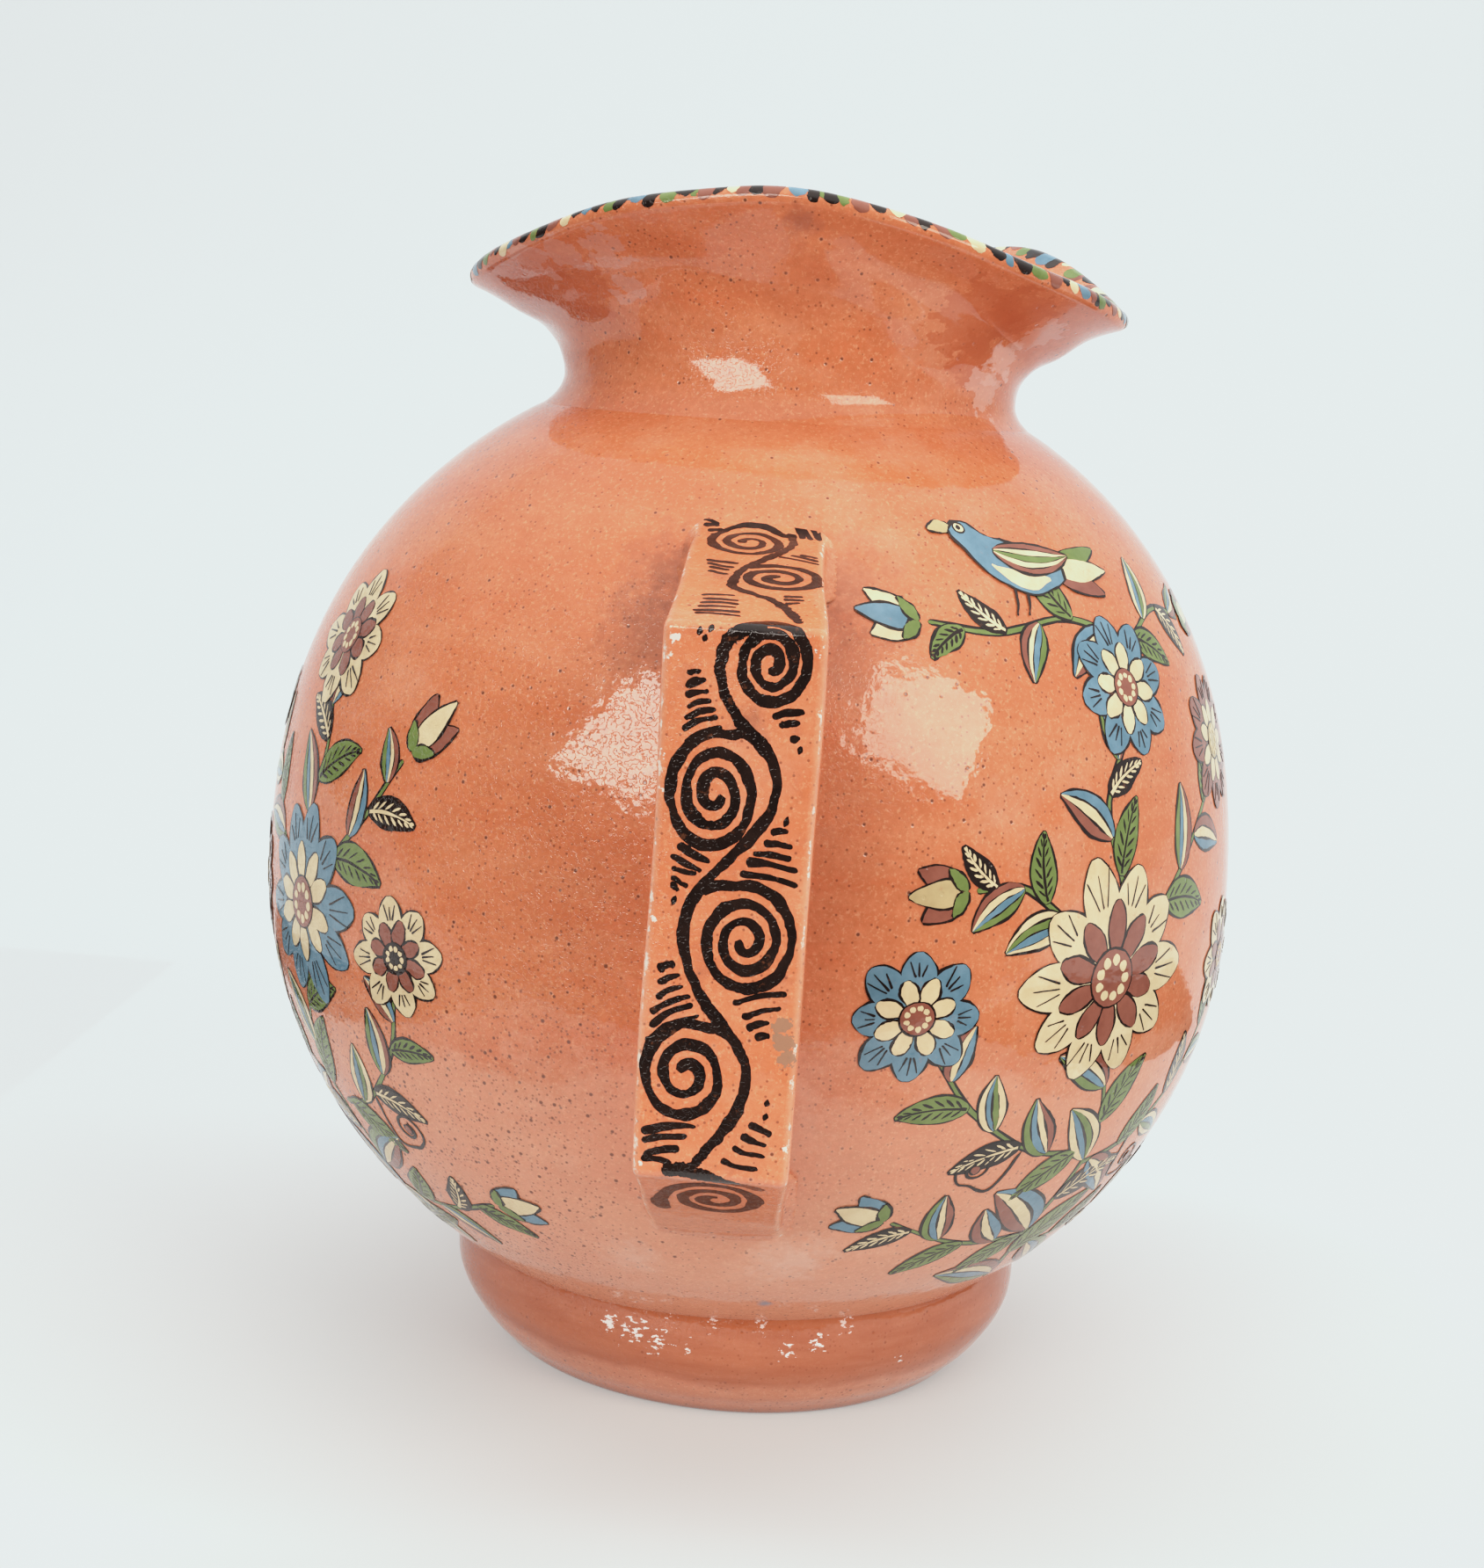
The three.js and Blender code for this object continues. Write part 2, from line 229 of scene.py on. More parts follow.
def clay_colour(tree, place):
    """Orange-red clay: slow clouds from deep to pale, level smears left by the burnishing tool, mottling and
    a coarse and a fine grain, a pale bloom in patches, paler towards the foot as a painted reflection of the
    floor, and dark specks of iron, thicker in some places than in others, each with a pale ring that is a
    painted glint on the rim of its pit."""
    lain = squeezed(tree, place, (1.0, 1.0, 4.0))
    cloud = between(tree, noise(tree, place, 17.0, 3.0, 0.6), 0.32, 0.68)
    smear = between(tree, noise(tree, lain, 26.0, 5.0, 0.65), 0.36, 0.70, 0.0, 0.60)
    mottle = between(tree, noise(tree, place, 120.0, 5.0, 0.72), 0.40, 0.72, 0.0, 0.50)
    grain = between(tree, noise(tree, place, 760.0, 3.0, 0.75), 0.38, 0.66, 0.0, 0.55)
    dust = between(tree, noise(tree, place, 1300.0, 2.0, 0.7), 0.54, 0.72, 0.0, 0.45)
    bloom = between(tree, noise(tree, place, 34.0, 6.0, 0.7), 0.54, 0.76, 0.0, 0.34)
    # Paler towards the foot: a painted reflection of the bright floor in the lower glaze.
    low = between(tree, part_of(tree, place, "Z"), 0.03, 0.10, 0.22, 0.0)
    colour = mixed(tree, cloud, (0.585, 0.139, 0.057, 1), (0.70, 0.190, 0.087, 1))
    colour = mixed(tree, smear, colour, (0.76, 0.290, 0.156, 1))
    colour = mixed(tree, mottle, colour, (0.50, 0.135, 0.056, 1))
    colour = mixed(tree, grain, colour, (0.50, 0.140, 0.058, 1))
    colour = mixed(tree, dust, colour, (0.84, 0.40, 0.22, 1))
    colour = mixed(tree, maths(tree, "ADD", bloom, low), colour, (0.76, 0.40, 0.28, 1))
    thick = noise(tree, place, 14.0, 2.0)
    many = between(tree, thick, 0.35, 0.70, 0.16, 0.50)
    # The pale ring round each coarse speck is a painted glint on the rim of its pit.
    ring = maths(tree, "MULTIPLY", specks(tree, place, 330.0, 0.24, many), 0.14)
    coarse = maths(tree, "MULTIPLY", specks(tree, place, 330.0, 0.15, many), 0.85)
    fine = specks(tree, place, 850.0, 0.28, between(tree, thick, 0.38, 0.70, 0.10, 0.60))
    colour = mixed(tree, ring, colour, (0.82, 0.46, 0.32, 1))
    return mixed(tree, maths(tree, "MAXIMUM", coarse, maths(tree, "MULTIPLY", fine, 0.60)), colour,
                 (0.085, 0.028, 0.018, 1))


def foot_colour(tree, place):
    """Clay of the foot: darker above a ragged level line as painted shade under the overhang of the globe,
    streaked by the turning, and dark along the standing edge as a painted contact shadow."""
    height = part_of(tree, place, "Z")
    ragged = between(tree, noise(tree, place, 50.0, 4.0, 0.6), 0.3, 0.7, -0.0018, 0.0018)
    level = maths(tree, "ADD", height, ragged)
    lain = squeezed(tree, place, (1.0, 1.0, 7.0))
    streak = between(tree, noise(tree, lain, 42.0, 4.0, 0.65), 0.35, 0.68, -0.10, 0.10)
    # Darker above the level line: painted shade under the overhang of the globe.
    deep = maths(tree, "ADD", between(tree, level, 0.0092, 0.0118, 0.30, 0.76), streak)
    colour = mixed(tree, deep, clay_colour(tree, place), (0.32, 0.070, 0.024, 1))
    # Dark along the standing edge: a painted contact shadow.
    return mixed(tree, between(tree, height, 0.0008, 0.0032, 0.60, 0.0), colour, (0.20, 0.060, 0.034, 1))


def flakes_glints_and_reflections(ground, grit, spots, cover=0.92):
    """Colour of a ground with flakes of wear and with painted glints and reflections: each spot is a point, a
    radius, a fill and a colour. A noise with those waves to the metre along x, y and z is raised by the fill
    in the middle of a spot and lowered outside it, and a flake hides that share of the ground, its cover,
    where the noise is high."""
    def colour_of(tree, place):
        colour = ground(tree, place)
        rough = noise(tree, squeezed(tree, place, grit), 1.0, 3.0, 0.6)
        for point, radius, fill, tint in spots:
            near = between(tree, distance(tree, place, point), 0.0, radius, fill, -0.20)
            share = between(tree, maths(tree, "ADD", rough, near), 0.60, 0.63, 0.0, cover)
            colour = mixed(tree, share, colour, (*tint, 1))
        return colour
    return colour_of


def foot_spot(turn, height):
    """Point of the foot's outside at a turn in degrees."""
    reach = foot_widest - 0.0004
    return (reach * np.sin(np.radians(turn)), axis_y - reach * np.cos(np.radians(turn)), height)


# White flakes on the front and pale flecks along the crease are painted glints of the soft boxes on the
# glaze.
painted_glint, painted_crease_glint = (0.84, 0.77, 0.75), (0.76, 0.56, 0.52)
glazed_foot = glaze_over("glazed_foot", flakes_glints_and_reflections(foot_colour, (640.0, 640.0, 1250.0), [
    (foot_spot(turn, height), radius, fill, tint) for turn, height, radius, fill, tint in (
        (-20, 0.0214, 0.0065, 0.13, painted_glint), (-15, 0.0206, 0.0075, 0.15, painted_glint),
        (-10, 0.0192, 0.0065, 0.14, painted_glint), (-5, 0.0186, 0.0045, 0.11, painted_glint),
        (14, 0.0198, 0.0050, 0.12, painted_glint), (20, 0.0212, 0.0045, 0.11, painted_glint),
        (38, 0.0150, 0.0030, 0.10, painted_glint), (150, 0.0190, 0.0070, 0.14, painted_glint),
        (-8, 0.0252, 0.0040, 0.12, painted_crease_glint), (0, 0.0250, 0.0040, 0.12, painted_crease_glint),
        (9, 0.0250, 0.0040, 0.14, painted_crease_glint), (25, 0.0248, 0.0050, 0.14, painted_crease_glint))]))


def foot_rows(turns, steps):
    """Rings of points of the foot: a closed outline of radius and height, carried once round the axis. The
    radius swells and shrinks by a quarter of a millimetre, as hand turning leaves it."""
    wide, tall = foot_widest, foot_height
    outline = smooth_line([
        (wide - 0.0030, tall + 0.0030), (wide - 0.0013, tall + 0.0010), (wide - 0.0005, 0.84 * tall),
        (wide - 0.0005, 0.684 * tall), (wide - 0.0011, 0.566 * tall), (wide - 0.0028, 0.418 * tall),
        (wide - 0.0060, 0.234 * tall), (wide - 0.0089, 0.117 * tall), (wide - 0.0111, 0.027 * tall),
        (wide - 0.0127, 0.0), (wide - 0.0170, 0.0), (wide - 0.0184, 0.0012), (wide - 0.0202, 0.25 * tall),
        (wide - 0.0190, 0.60 * tall), (wide - 0.0100, 0.95 * tall)], steps, looped=True)
    turn = np.linspace(0, 2 * np.pi, turns, endpoint=False)[:, None]
    radius = outline[None, :, 0] + 0.00025 * np.sin(2 * turn + 0.6) + 0.00012 * np.sin(5 * turn)
    height = np.broadcast_to(np.maximum(outline[None, :, 1], 0), radius.shape)
    return np.stack([radius * np.sin(turn) + foot_shift, axis_y - radius * np.cos(turn), height], axis=-1)


pottery_piece("foot", [(shell(foot_rows(240, 120), looped=True), 0)], [glazed_foot], ["foot_ring"])

# Globe
# Two bowls of red clay pressed in a mould and luted at the belly, then scraped until the seam is gone.
# Burnished before firing, so that level tool marks show under the glaze, and leaning a little to one side.
bowl_low, bowl_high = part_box("lower_bowl")
top_low, top_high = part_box("upper_bowl")
belly_radius = (bowl_high.x - bowl_low.x) / 2
belly_height = (bowl_high.z + top_low.z) / 2
base_drop = belly_height - bowl_low.z
shoulder_rise = 0.1186
shoulder_power, base_power = 2.28, 2.02
neck_seat = top_high.z
wall = 0.006
belly_lean = -0.0024
outside_rings, inside_rings = 150, 70


def globe_at(turn, rise, lift):
    """Point of the globe at a turn from the handle and a rise: height is belly height plus rise of the
    half times the sine of the angle, radius is belly radius times the root of one less the sine to a
    power. A slow wobble that dies out at the poles and under the handle, a lean to the left at the belly and
    the lift are added outward."""
    turn, rise, lift = np.broadcast_arrays(turn, rise, lift)
    sine = np.sin(rise)
    up = sine > 0
    power = np.where(up, shoulder_power, base_power)
    height = belly_height + np.where(up, shoulder_rise, base_drop) * sine
    ring = np.sqrt(np.clip(1 - np.abs(sine) ** power, 0, None))
    beside = (turn + np.pi) % (2 * np.pi) - np.pi
    wobble = (0.00030 * np.sin(2 * turn + 0.8 + 1.5 * rise) + 0.00018 * np.sin(3 * turn - 1.1 + 4 * rise)
              + 0.00010 * np.sin(7 * turn + 9 * rise))
    wobble = wobble * np.cos(rise) ** 2 * (1 - np.exp(-(beside / 0.4) ** 2))
    radius = belly_radius * ring + wobble + lift * np.cos(rise)
    lean = belly_lean * np.cos(rise) ** 2
    return np.stack([radius * np.sin(turn) + lean, axis_y - radius * np.cos(turn),
                     height + lift * np.sin(rise)], axis=-1)


def globe_rows(turns):
    """Rings of the globe from the outer pole up the outside to the neck, through the hole for the neck and
    down the inside, one wall thickness in, to the inner pole."""
    turn = np.linspace(0, 2 * np.pi, turns, endpoint=False)[None]
    neck = np.arcsin((neck_seat - belly_height) / shoulder_rise)
    outside = globe_at(turn, np.linspace(-np.pi / 2 + 0.012, neck, outside_rings)[:, None], 0)
    inside = globe_at(turn, np.linspace(neck + 0.03, -np.pi / 2 + 0.02, inside_rings)[:, None], -wall)
    return np.concatenate([outside, inside])


shoulder_tint = (0.96, 0.90, 0.86, 1)


def globe_colour(tree, place):
    """Clay of the globe: iron specks lie thick on one flank, low down, a pale painted reflection of the floor
    covers the lower half up to a ragged level line, and the shoulder is a little deeper."""
    height = part_of(tree, place, "Z")
    ragged = between(tree, noise(tree, place, 60.0, 5.0, 0.65), 0.3, 0.7, -0.010, 0.010)
    level = maths(tree, "ADD", height, ragged)
    # Pale below the ragged level line: a painted reflection of the floor.
    colour = mixed(tree, between(tree, level, 0.086, 0.093, 0.20, 0.0), clay_colour(tree, place),
                   (0.80, 0.47, 0.35, 1))
    flank = maths(tree, "MULTIPLY", between(tree, part_of(tree, place, "X"), -0.035, 0.0, 1.0, 0.0),
                  between(tree, level, 0.085, 0.125, 1.0, 0.0))
    coarse = specks(tree, place, 400.0, 0.21, maths(tree, "MULTIPLY", flank, 0.80))
    fine = specks(tree, place, 980.0, 0.32, maths(tree, "MULTIPLY", flank, 0.75))
    dark = maths(tree, "MAXIMUM", maths(tree, "MULTIPLY", coarse, 0.85), maths(tree, "MULTIPLY", fine, 0.55))
    colour = mixed(tree, dark, colour, (0.095, 0.034, 0.024, 1))
    return mixed(tree, between(tree, height, 0.160, 0.192), colour, shoulder_tint, "MULTIPLY")


def stains_and_shade(ground, spots):
    """Colour of a ground with stains, painted shade and painted reflections: each spot is a point, a radius,
    a strength and a colour. The spot fades from its middle out, and noise added to the distance makes its
    edge ragged."""
    def colour_of(tree, place):
        colour = ground(tree, place)
        ragged = between(tree, noise(tree, place, 260.0, 4.0, 0.7), 0.3, 0.7, -0.35, 0.35)
        for point, radius, strength, tint in spots:
            far = maths(tree, "ADD", maths(tree, "DIVIDE", distance(tree, place, point), radius), ragged)
            colour = mixed(tree, between(tree, far, 0.25, 1.0, strength, 0.0), colour, (*tint, 1))
        return colour
    return colour_of


painted_joint_shade, blue_drop, smeared_slip = (0.20, 0.062, 0.036), (0.16, 0.25, 0.32), (0.78, 0.50, 0.40)
# The six dark spots round the handle's upper joint and beside the handle are painted shade; the blue drop and
# the two pale smears by the lower joint are marks of the pot.
glazed_globe = glaze_over("glazed_globe", stains_and_shade(globe_colour, [
    ((0.0110, axis_y - 0.0747, 0.0339), 0.0018, 0.80, blue_drop),
    ((-0.0165, axis_y - 0.085, 0.184), 0.013, 0.50, painted_joint_shade),
    ((0.0185, axis_y - 0.085, 0.184), 0.014, 0.45, painted_joint_shade),
    ((-0.0175, axis_y - 0.094, 0.174), 0.014, 0.50, painted_joint_shade),
    ((0.0190, axis_y - 0.094, 0.172), 0.014, 0.24, painted_joint_shade),
    ((0.017, axis_y - 0.108, 0.135), 0.022, 0.12, painted_joint_shade),
    ((-0.017, axis_y - 0.108, 0.125), 0.020, 0.12, painted_joint_shade),
    ((0.016, axis_y - 0.086, 0.050), 0.010, 0.45, smeared_slip),
    ((-0.016, axis_y - 0.084, 0.047), 0.008, 0.35, smeared_slip)]))
pottery_piece("globe", [(shell(globe_rows(320)), 0)], [glazed_globe], ["lower_bowl", "upper_bowl"],
              crease=0.7)

# Neck and mouth
# A collar of clay thrown apart, luted over the hole in the upper bowl with a smoothed fillet, then pulled:
# the back stands high, the sides flare low and two pinches lift the rim beside the pouring lip.
neck_radius = 0.0506
lip_thickness = 0.0044
mouth_twist = np.radians(-4.8)
fillet_height, fillet_drop, fillet_sink, root_depth = 0.0036, 0.0031, 0.00025, 0.0035
rim_turns = np.radians([0, 90, 141, 180])
rim_flares = np.array([0.0104, 0.0230, 0.0195, 0.0334])
rim_rises = np.array([0.0430, 0.0244, 0.0406, 0.0360])


def rim_at(turn):
    """Radius and height of the rim above the neck's seat: flare and rise ease by a half cosine from one
    station to the next, and a small wave remains from the fingers."""
    away = np.abs((turn - mouth_twist + np.pi) % (2 * np.pi) - np.pi)
    k = np.clip(np.searchsorted(rim_turns, away, side="right") - 1, 0, 2)
    ease = (1 - np.cos(np.pi * (away - rim_turns[k]) / (rim_turns[k + 1] - rim_turns[k]))) / 2
    radius = neck_radius + rim_flares[k] + (rim_flares[k + 1] - rim_flares[k]) * ease
    height = rim_rises[k] + (rim_rises[k + 1] - rim_rises[k]) * ease
    wave = 0.00022 * np.sin(7 * turn + 0.4) + 0.00015 * np.sin(11 * turn + 1.9)
    return radius, height + wave


def mouth_lines(turn):
    """For each turn: middle of the half-round lip, the direction out over it and the direction under it, as
    (radius, height), and the four points of the outer wall's cubic. Its foot is a little wider on the left
    towards the handle, where the collar was thumbed down on the globe."""
    radius, height = rim_at(turn)
    half = lip_thickness / 2
    ahead = np.stack([(radius - neck_radius) * 0.59, height * 0.21], axis=-1)
    ahead /= np.linalg.norm(ahead, axis=-1, keepdims=True)
    under = np.stack([ahead[..., 1], -ahead[..., 0]], axis=-1)
    middle = np.stack([radius, height], axis=-1) - half * ahead
    end = middle + half * under
    flare = end[..., 0] - neck_radius
    tall = end[..., 1]
    straight = np.full_like(tall, neck_radius)
    taper = 0.0026 * np.clip(np.cos(turn + 0.5), 0, 1) ** 3
    cubic = np.stack([np.stack([straight + taper, fillet_height + 0 * tall], -1),
                      np.stack([straight - 0.9 * taper, 0.5 * tall], -1),
                      np.stack([straight + 0.41 * flare, 0.79 * tall], -1), end], axis=-2)
    return middle, ahead, under, cubic


def round_axis(turn, line):
    """A point given as radius and height above the neck's seat, carried to that turn round the axis."""
    return np.stack([line[..., 0] * np.sin(turn), axis_y - line[..., 0] * np.cos(turn),
                     neck_seat + line[..., 1]], axis=-1)


def neck_rows(turns):
    """Rings of points of the collar, one closed outline at each turn: a fillet that leaves the globe along
    its slope and turns upright, the outer wall as a cubic with shallow dents of the hand, a half circle
    over the lip, and the inner wall one clay thickness away, down to just inside the globe's hole."""
    turn = np.linspace(0, 2 * np.pi, turns, endpoint=False)
    middle, ahead, under, cubic = mouth_lines(turn)
    t = np.linspace(0, 1, 48)[None, :, None]
    a, b, c, d = (cubic[:, i][:, None] for i in range(4))
    outer = (1 - t) ** 3 * a + 3 * t * (1 - t) ** 2 * b + 3 * t ** 2 * (1 - t) * c + t ** 3 * d
    slope = 3 * (1 - t) ** 2 * (b - a) + 6 * t * (1 - t) * (c - b) + 3 * t ** 2 * (d - c)
    slope /= np.linalg.norm(slope, axis=-1, keepdims=True)
    thick = wall + (lip_thickness - wall) * t
    inner = outer + thick * np.stack([-slope[..., 1], slope[..., 0]], axis=-1)
    round_neck = turn[:, None]
    up = t[..., 0]
    dent = (0.00040 * np.sin(5 * round_neck + 1.2 + 9 * up) + 0.00030 * np.sin(8 * round_neck - 7 * up)
            + 0.00012 * np.sin(15 * round_neck + 17 * up)) * np.sin(np.pi * up)
    outer = outer + dent[..., None] * np.stack([slope[..., 1], -slope[..., 0]], axis=-1)
    angle = np.linspace(0, np.pi, 18)[None, 1:-1, None]
    over_lip = np.cos(angle) * under[:, None] + np.sin(angle) * ahead[:, None]
    lip = middle[:, None] + lip_thickness / 2 * over_lip
    rise = np.arcsin((neck_seat - fillet_drop - belly_height) / shoulder_rise)
    start = globe_at(turn, rise, -fillet_sink)[:, None]
    lean = (cubic[:, 0, 0] - cubic[:, 1, 0]) / (cubic[:, 1, 1] - cubic[:, 0, 1])
    bend = round_axis(turn, np.stack([cubic[:, 0, 0] + lean * cubic[:, 0, 1], 0 * turn], -1))[:, None]
    upright = round_axis(turn, cubic[:, 0])[:, None]
    s = np.linspace(0, 1, 14)[None, :-1, None]
    fillet = (1 - s) ** 2 * start + 2 * s * (1 - s) * bend + s ** 2 * upright
    hidden = globe_at(turn, rise, -root_depth)[:, None]
    body = round_axis(turn[:, None], np.concatenate([outer, lip, inner[:, ::-1]], axis=1))
    return np.concatenate([hidden, fillet, body], axis=1)


def collar_colour(tree, place):
    """Clay of the collar: as deep as the shoulder's at its foot, and plain clay further up."""
    deep = between(tree, part_of(tree, place, "Z"), 0.209, 0.221, 1.0, 0.0)
    return mixed(tree, deep, clay_colour(tree, place), shoulder_tint, "MULTIPLY")


# The third spot darkens the underside of the left flare as painted shade, and the pale fourth spot is a
# painted reflection.
neck_clay = stains_and_shade(collar_colour, [
    ((0.0024, axis_y - 0.0603, 0.2535), 0.005, 0.60, (0.26, 0.085, 0.060)),
    ((0.004, axis_y - 0.055, 0.240), 0.012, 0.30, (0.46, 0.125, 0.060)),
    ((-0.058, axis_y - 0.032, 0.238), 0.030, 0.40, (0.42, 0.110, 0.056)),
    ((0.030, axis_y - 0.046, 0.236), 0.013, 0.30, (0.80, 0.36, 0.22)),
    ((-0.036, axis_y - 0.038, 0.206), 0.010, 0.40, (0.34, 0.110, 0.070))])
lip_grit = (190.0, 190.0, 330.0)
painted_dark_reflection, painted_pale_reflection, painted_bright_reflection = (0.50, 0.122, 0.054), (0.62, 0.33, 0.28), (0.78, 0.47, 0.40)
# Dark ragged patches on both flares: painted reflections of the dark cards and the dark room.
neck_deep = flakes_glints_and_reflections(neck_clay, lip_grit, [
    ((-0.050, axis_y - 0.033, 0.2405), 0.016, 0.50, painted_dark_reflection),
    ((-0.042, axis_y - 0.037, 0.2410), 0.013, 0.50, painted_dark_reflection),
    ((0.0400, axis_y - 0.041, 0.2390), 0.018, 0.50, painted_dark_reflection),
    ((0.0480, axis_y - 0.038, 0.2395), 0.014, 0.50, painted_dark_reflection),
    ((0.0390, axis_y - 0.035, 0.2305), 0.011, 0.45, painted_dark_reflection)], 0.60)
# Pale ragged patches on both flares: painted reflections of the bright floor and walls.
glazed_neck = glaze_over("glazed_neck", flakes_glints_and_reflections(neck_deep, lip_grit, [
    ((-0.055, axis_y - 0.036, 0.2450), 0.012, 0.40, painted_pale_reflection),
    ((-0.047, axis_y - 0.042, 0.2460), 0.010, 0.38, painted_pale_reflection),
    ((-0.038, axis_y - 0.047, 0.2465), 0.012, 0.38, painted_pale_reflection),
    ((-0.034, axis_y - 0.043, 0.2400), 0.009, 0.32, painted_pale_reflection),
    ((0.0530, axis_y - 0.027, 0.2355), 0.011, 0.42, painted_bright_reflection),
    ((0.0470, axis_y - 0.028, 0.2300), 0.010, 0.42, painted_bright_reflection),
    ((0.0440, axis_y - 0.029, 0.2240), 0.011, 0.42, painted_bright_reflection)], 0.42))
pottery_piece("neck_and_mouth", [(shell(neck_rows(300), looped=True), 0)], [glazed_neck], ["neck_collar"],
              crease=0.9)

# Handle
# A strap cut from a rolled slab of clay, bent square at two corners and luted to the shoulder and the
# lower globe. The edges are rounded by a wet finger, and slip is smoothed into both joints.
handle_reach = axis_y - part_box("handle_grip")[0].y
handle_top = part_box("handle_grip")[1].z
handle_thickness = 0.011
grip_width = 0.0282
arm_end_width = 0.0252
grip_length = 0.099
longest_arm, arm_tries = 0.09, 4001
millimetre = 0.001


def globe_half(height):
    """Rise of the half of the globe that a height lies in, and the power of its outline."""
    over = height > belly_height
    return np.where(over, shoulder_rise, base_drop), np.where(over, shoulder_power, base_power)


def globe_ring(height):
    """Radius of the globe at a height: belly radius times the root of one less the share of the half's rise
    to its power."""
    half, power = globe_half(height)
    return belly_radius * np.sqrt(1 - np.clip(np.abs(height - belly_height) / half, 0, 1) ** power)


def meet_globe(point, way):
    """Where a straight line in the handle's plane, given as (reach, height), enters the globe: the first of
    many points along it whose reach is less than the globe's radius at that height."""
    line = point + np.linspace(0, longest_arm, arm_tries)[:, None] * way
    return line[np.argmax(line[:, 0] < globe_ring(line[:, 1]))]


def globe_slope(reach, height):
    """Direction square to the globe, as (outward, up): the slope of its superellipse at that place."""
    half, power = globe_half(height)
    share = (height - belly_height) / half
    across = 2 * reach / belly_radius ** 2
    along = power * np.sign(share) * np.abs(share) ** (power - 1) / half
    length = np.hypot(across, along)
    return across / length, along / length


def strap_line(corners, cuts, counts):
    """A broken line through the corners with each inner corner rounded by a parabola that starts and ends a
    cut length away from it; counts gives the points of each straight and of each bend in turn."""
    parts = []
    leave = corners[0]
    for i, cut in enumerate(cuts):
        corner = corners[i + 1]
        back = corners[i] - corner
        on = corners[i + 2] - corner
        enter = corner + cut * back / np.linalg.norm(back)
        depart = corner + cut * on / np.linalg.norm(on)
        share = np.linspace(0, 1, counts[2 * i], endpoint=False)[:, None]
        parts.append(leave + share * (enter - leave))
        t = np.linspace(0, 1, counts[2 * i + 1], endpoint=False)[:, None]
        parts.append((1 - t) ** 2 * enter + 2 * t * (1 - t) * corner + t ** 2 * depart)
        leave = depart
    share = np.linspace(0, 1, counts[-1])[:, None]
    parts.append(leave + share * (corners[-1] - leave))
    return np.concatenate(parts)


arm_fall, arm_back = np.radians(12.6), np.radians(30.6)
arm_out = np.array([np.cos(arm_fall), -np.sin(arm_fall)])
arm_in = np.array([-np.cos(arm_back), -np.sin(arm_back)])
top_corner = np.array([handle_reach, handle_top])
low_corner = np.array([handle_reach, handle_top - grip_length])
top_joint = meet_globe(top_corner, -arm_out)
low_joint = meet_globe(low_corner, arm_in)
top_slope = np.array(globe_slope(*top_joint))
low_slope = np.array(globe_slope(*low_joint))
tuck_length, tuck_depth, joint_depth, inner_tuck = 0.010, 0.0011, 0.0002, 0.0095
top_tuck = top_joint + tuck_length * np.array([-top_slope[1], top_slope[0]]) - tuck_depth * top_slope
low_tuck = low_joint + tuck_length * np.array([low_slope[1], -low_slope[0]]) - tuck_depth * low_slope
top_out = np.array([-arm_out[1], arm_out[0]])
low_out = np.array([-arm_in[1], arm_in[0]])
down_out = np.array([1.0, 0.0])
top_inner = top_corner - handle_thickness * (top_out + down_out) / (1 + top_out @ down_out)
low_inner = low_corner - handle_thickness * (low_out + down_out) / (1 + low_out @ down_out)
strap_counts = (16, 18, 50, 12, 110, 12, 36, 18, 16)
strap_outer = strap_line(
    [top_tuck, top_joint - joint_depth * top_slope, top_corner,
     low_corner, low_joint - joint_depth * low_slope, low_tuck],
    (0.0048, 0.0017, 0.0013, 0.0048), strap_counts)
top_under = top_joint - handle_thickness * top_out
low_under = low_joint - handle_thickness * low_out
strap_inner = strap_line(
    [top_under - inner_tuck * arm_out, top_under, top_inner,
     low_inner, low_under, low_under + inner_tuck * arm_in],
    (0.0030, 0.0030, 0.0025, 0.0030), strap_counts)
strap_run = np.concatenate([[0], np.cumsum(np.linalg.norm(np.diff(strap_outer, axis=0), axis=1))])
strap_run -= strap_run[sum(strap_counts[:3]) + strap_counts[3] // 2]
joint_bend = strap_counts[1] // 2
joint_runs = strap_run[[strap_counts[0] + joint_bend, -1 - strap_counts[-1] - joint_bend]]
edge_round = 0.0016
edge_steps, face_steps = 7, 8


def strap_sway(run):
    """Sideways place of the strap's middle: it drifts to the right along the arms and stays there."""
    near = np.clip((run + 0.060) / 0.060, 0, 1)
    far = np.clip((run - grip_length) / 0.035, 0, 1)
    ease = near * near * (3 - 2 * near) * (1 - 0.6 * far * far * (3 - 2 * far))
    return 0.0019 * ease + 0.00020 * np.sin(run / 0.017)


def strap_half_width(run):
    """Half the strap's width: full along the grip, less towards both joints, with a slight hand-cut wave."""
    low_arm = (run - grip_length) / (joint_runs[1] - grip_length)
    arm = np.clip(np.maximum(run / joint_runs[0], low_arm), 0, 1)
    width = grip_width + (arm_end_width - grip_width) * arm
    return width / 2 + 0.00016 * np.sin(run / 0.011 + 1.0)


def strap_drop(side, run):
    """How far the outer face falls away from flat: as the square of the distance from the middle towards the
    joints, where it takes the globe's own roundness, and with a slow hand-made wave along the grip."""
    fade, joint_round = 0.016, 0.214
    near = np.clip(1 - (run - joint_runs[0]) / fade, 0, 1) + np.clip(1 - (joint_runs[1] - run) / fade, 0, 1)
    ease = near * near * (3 - 2 * near)
    wave = 0.00012 * np.sin(run / 0.013) * np.sin(side / 0.009 + 0.7)
    return ease * (side + strap_sway(run) + 0.0015) ** 2 / joint_round + wave


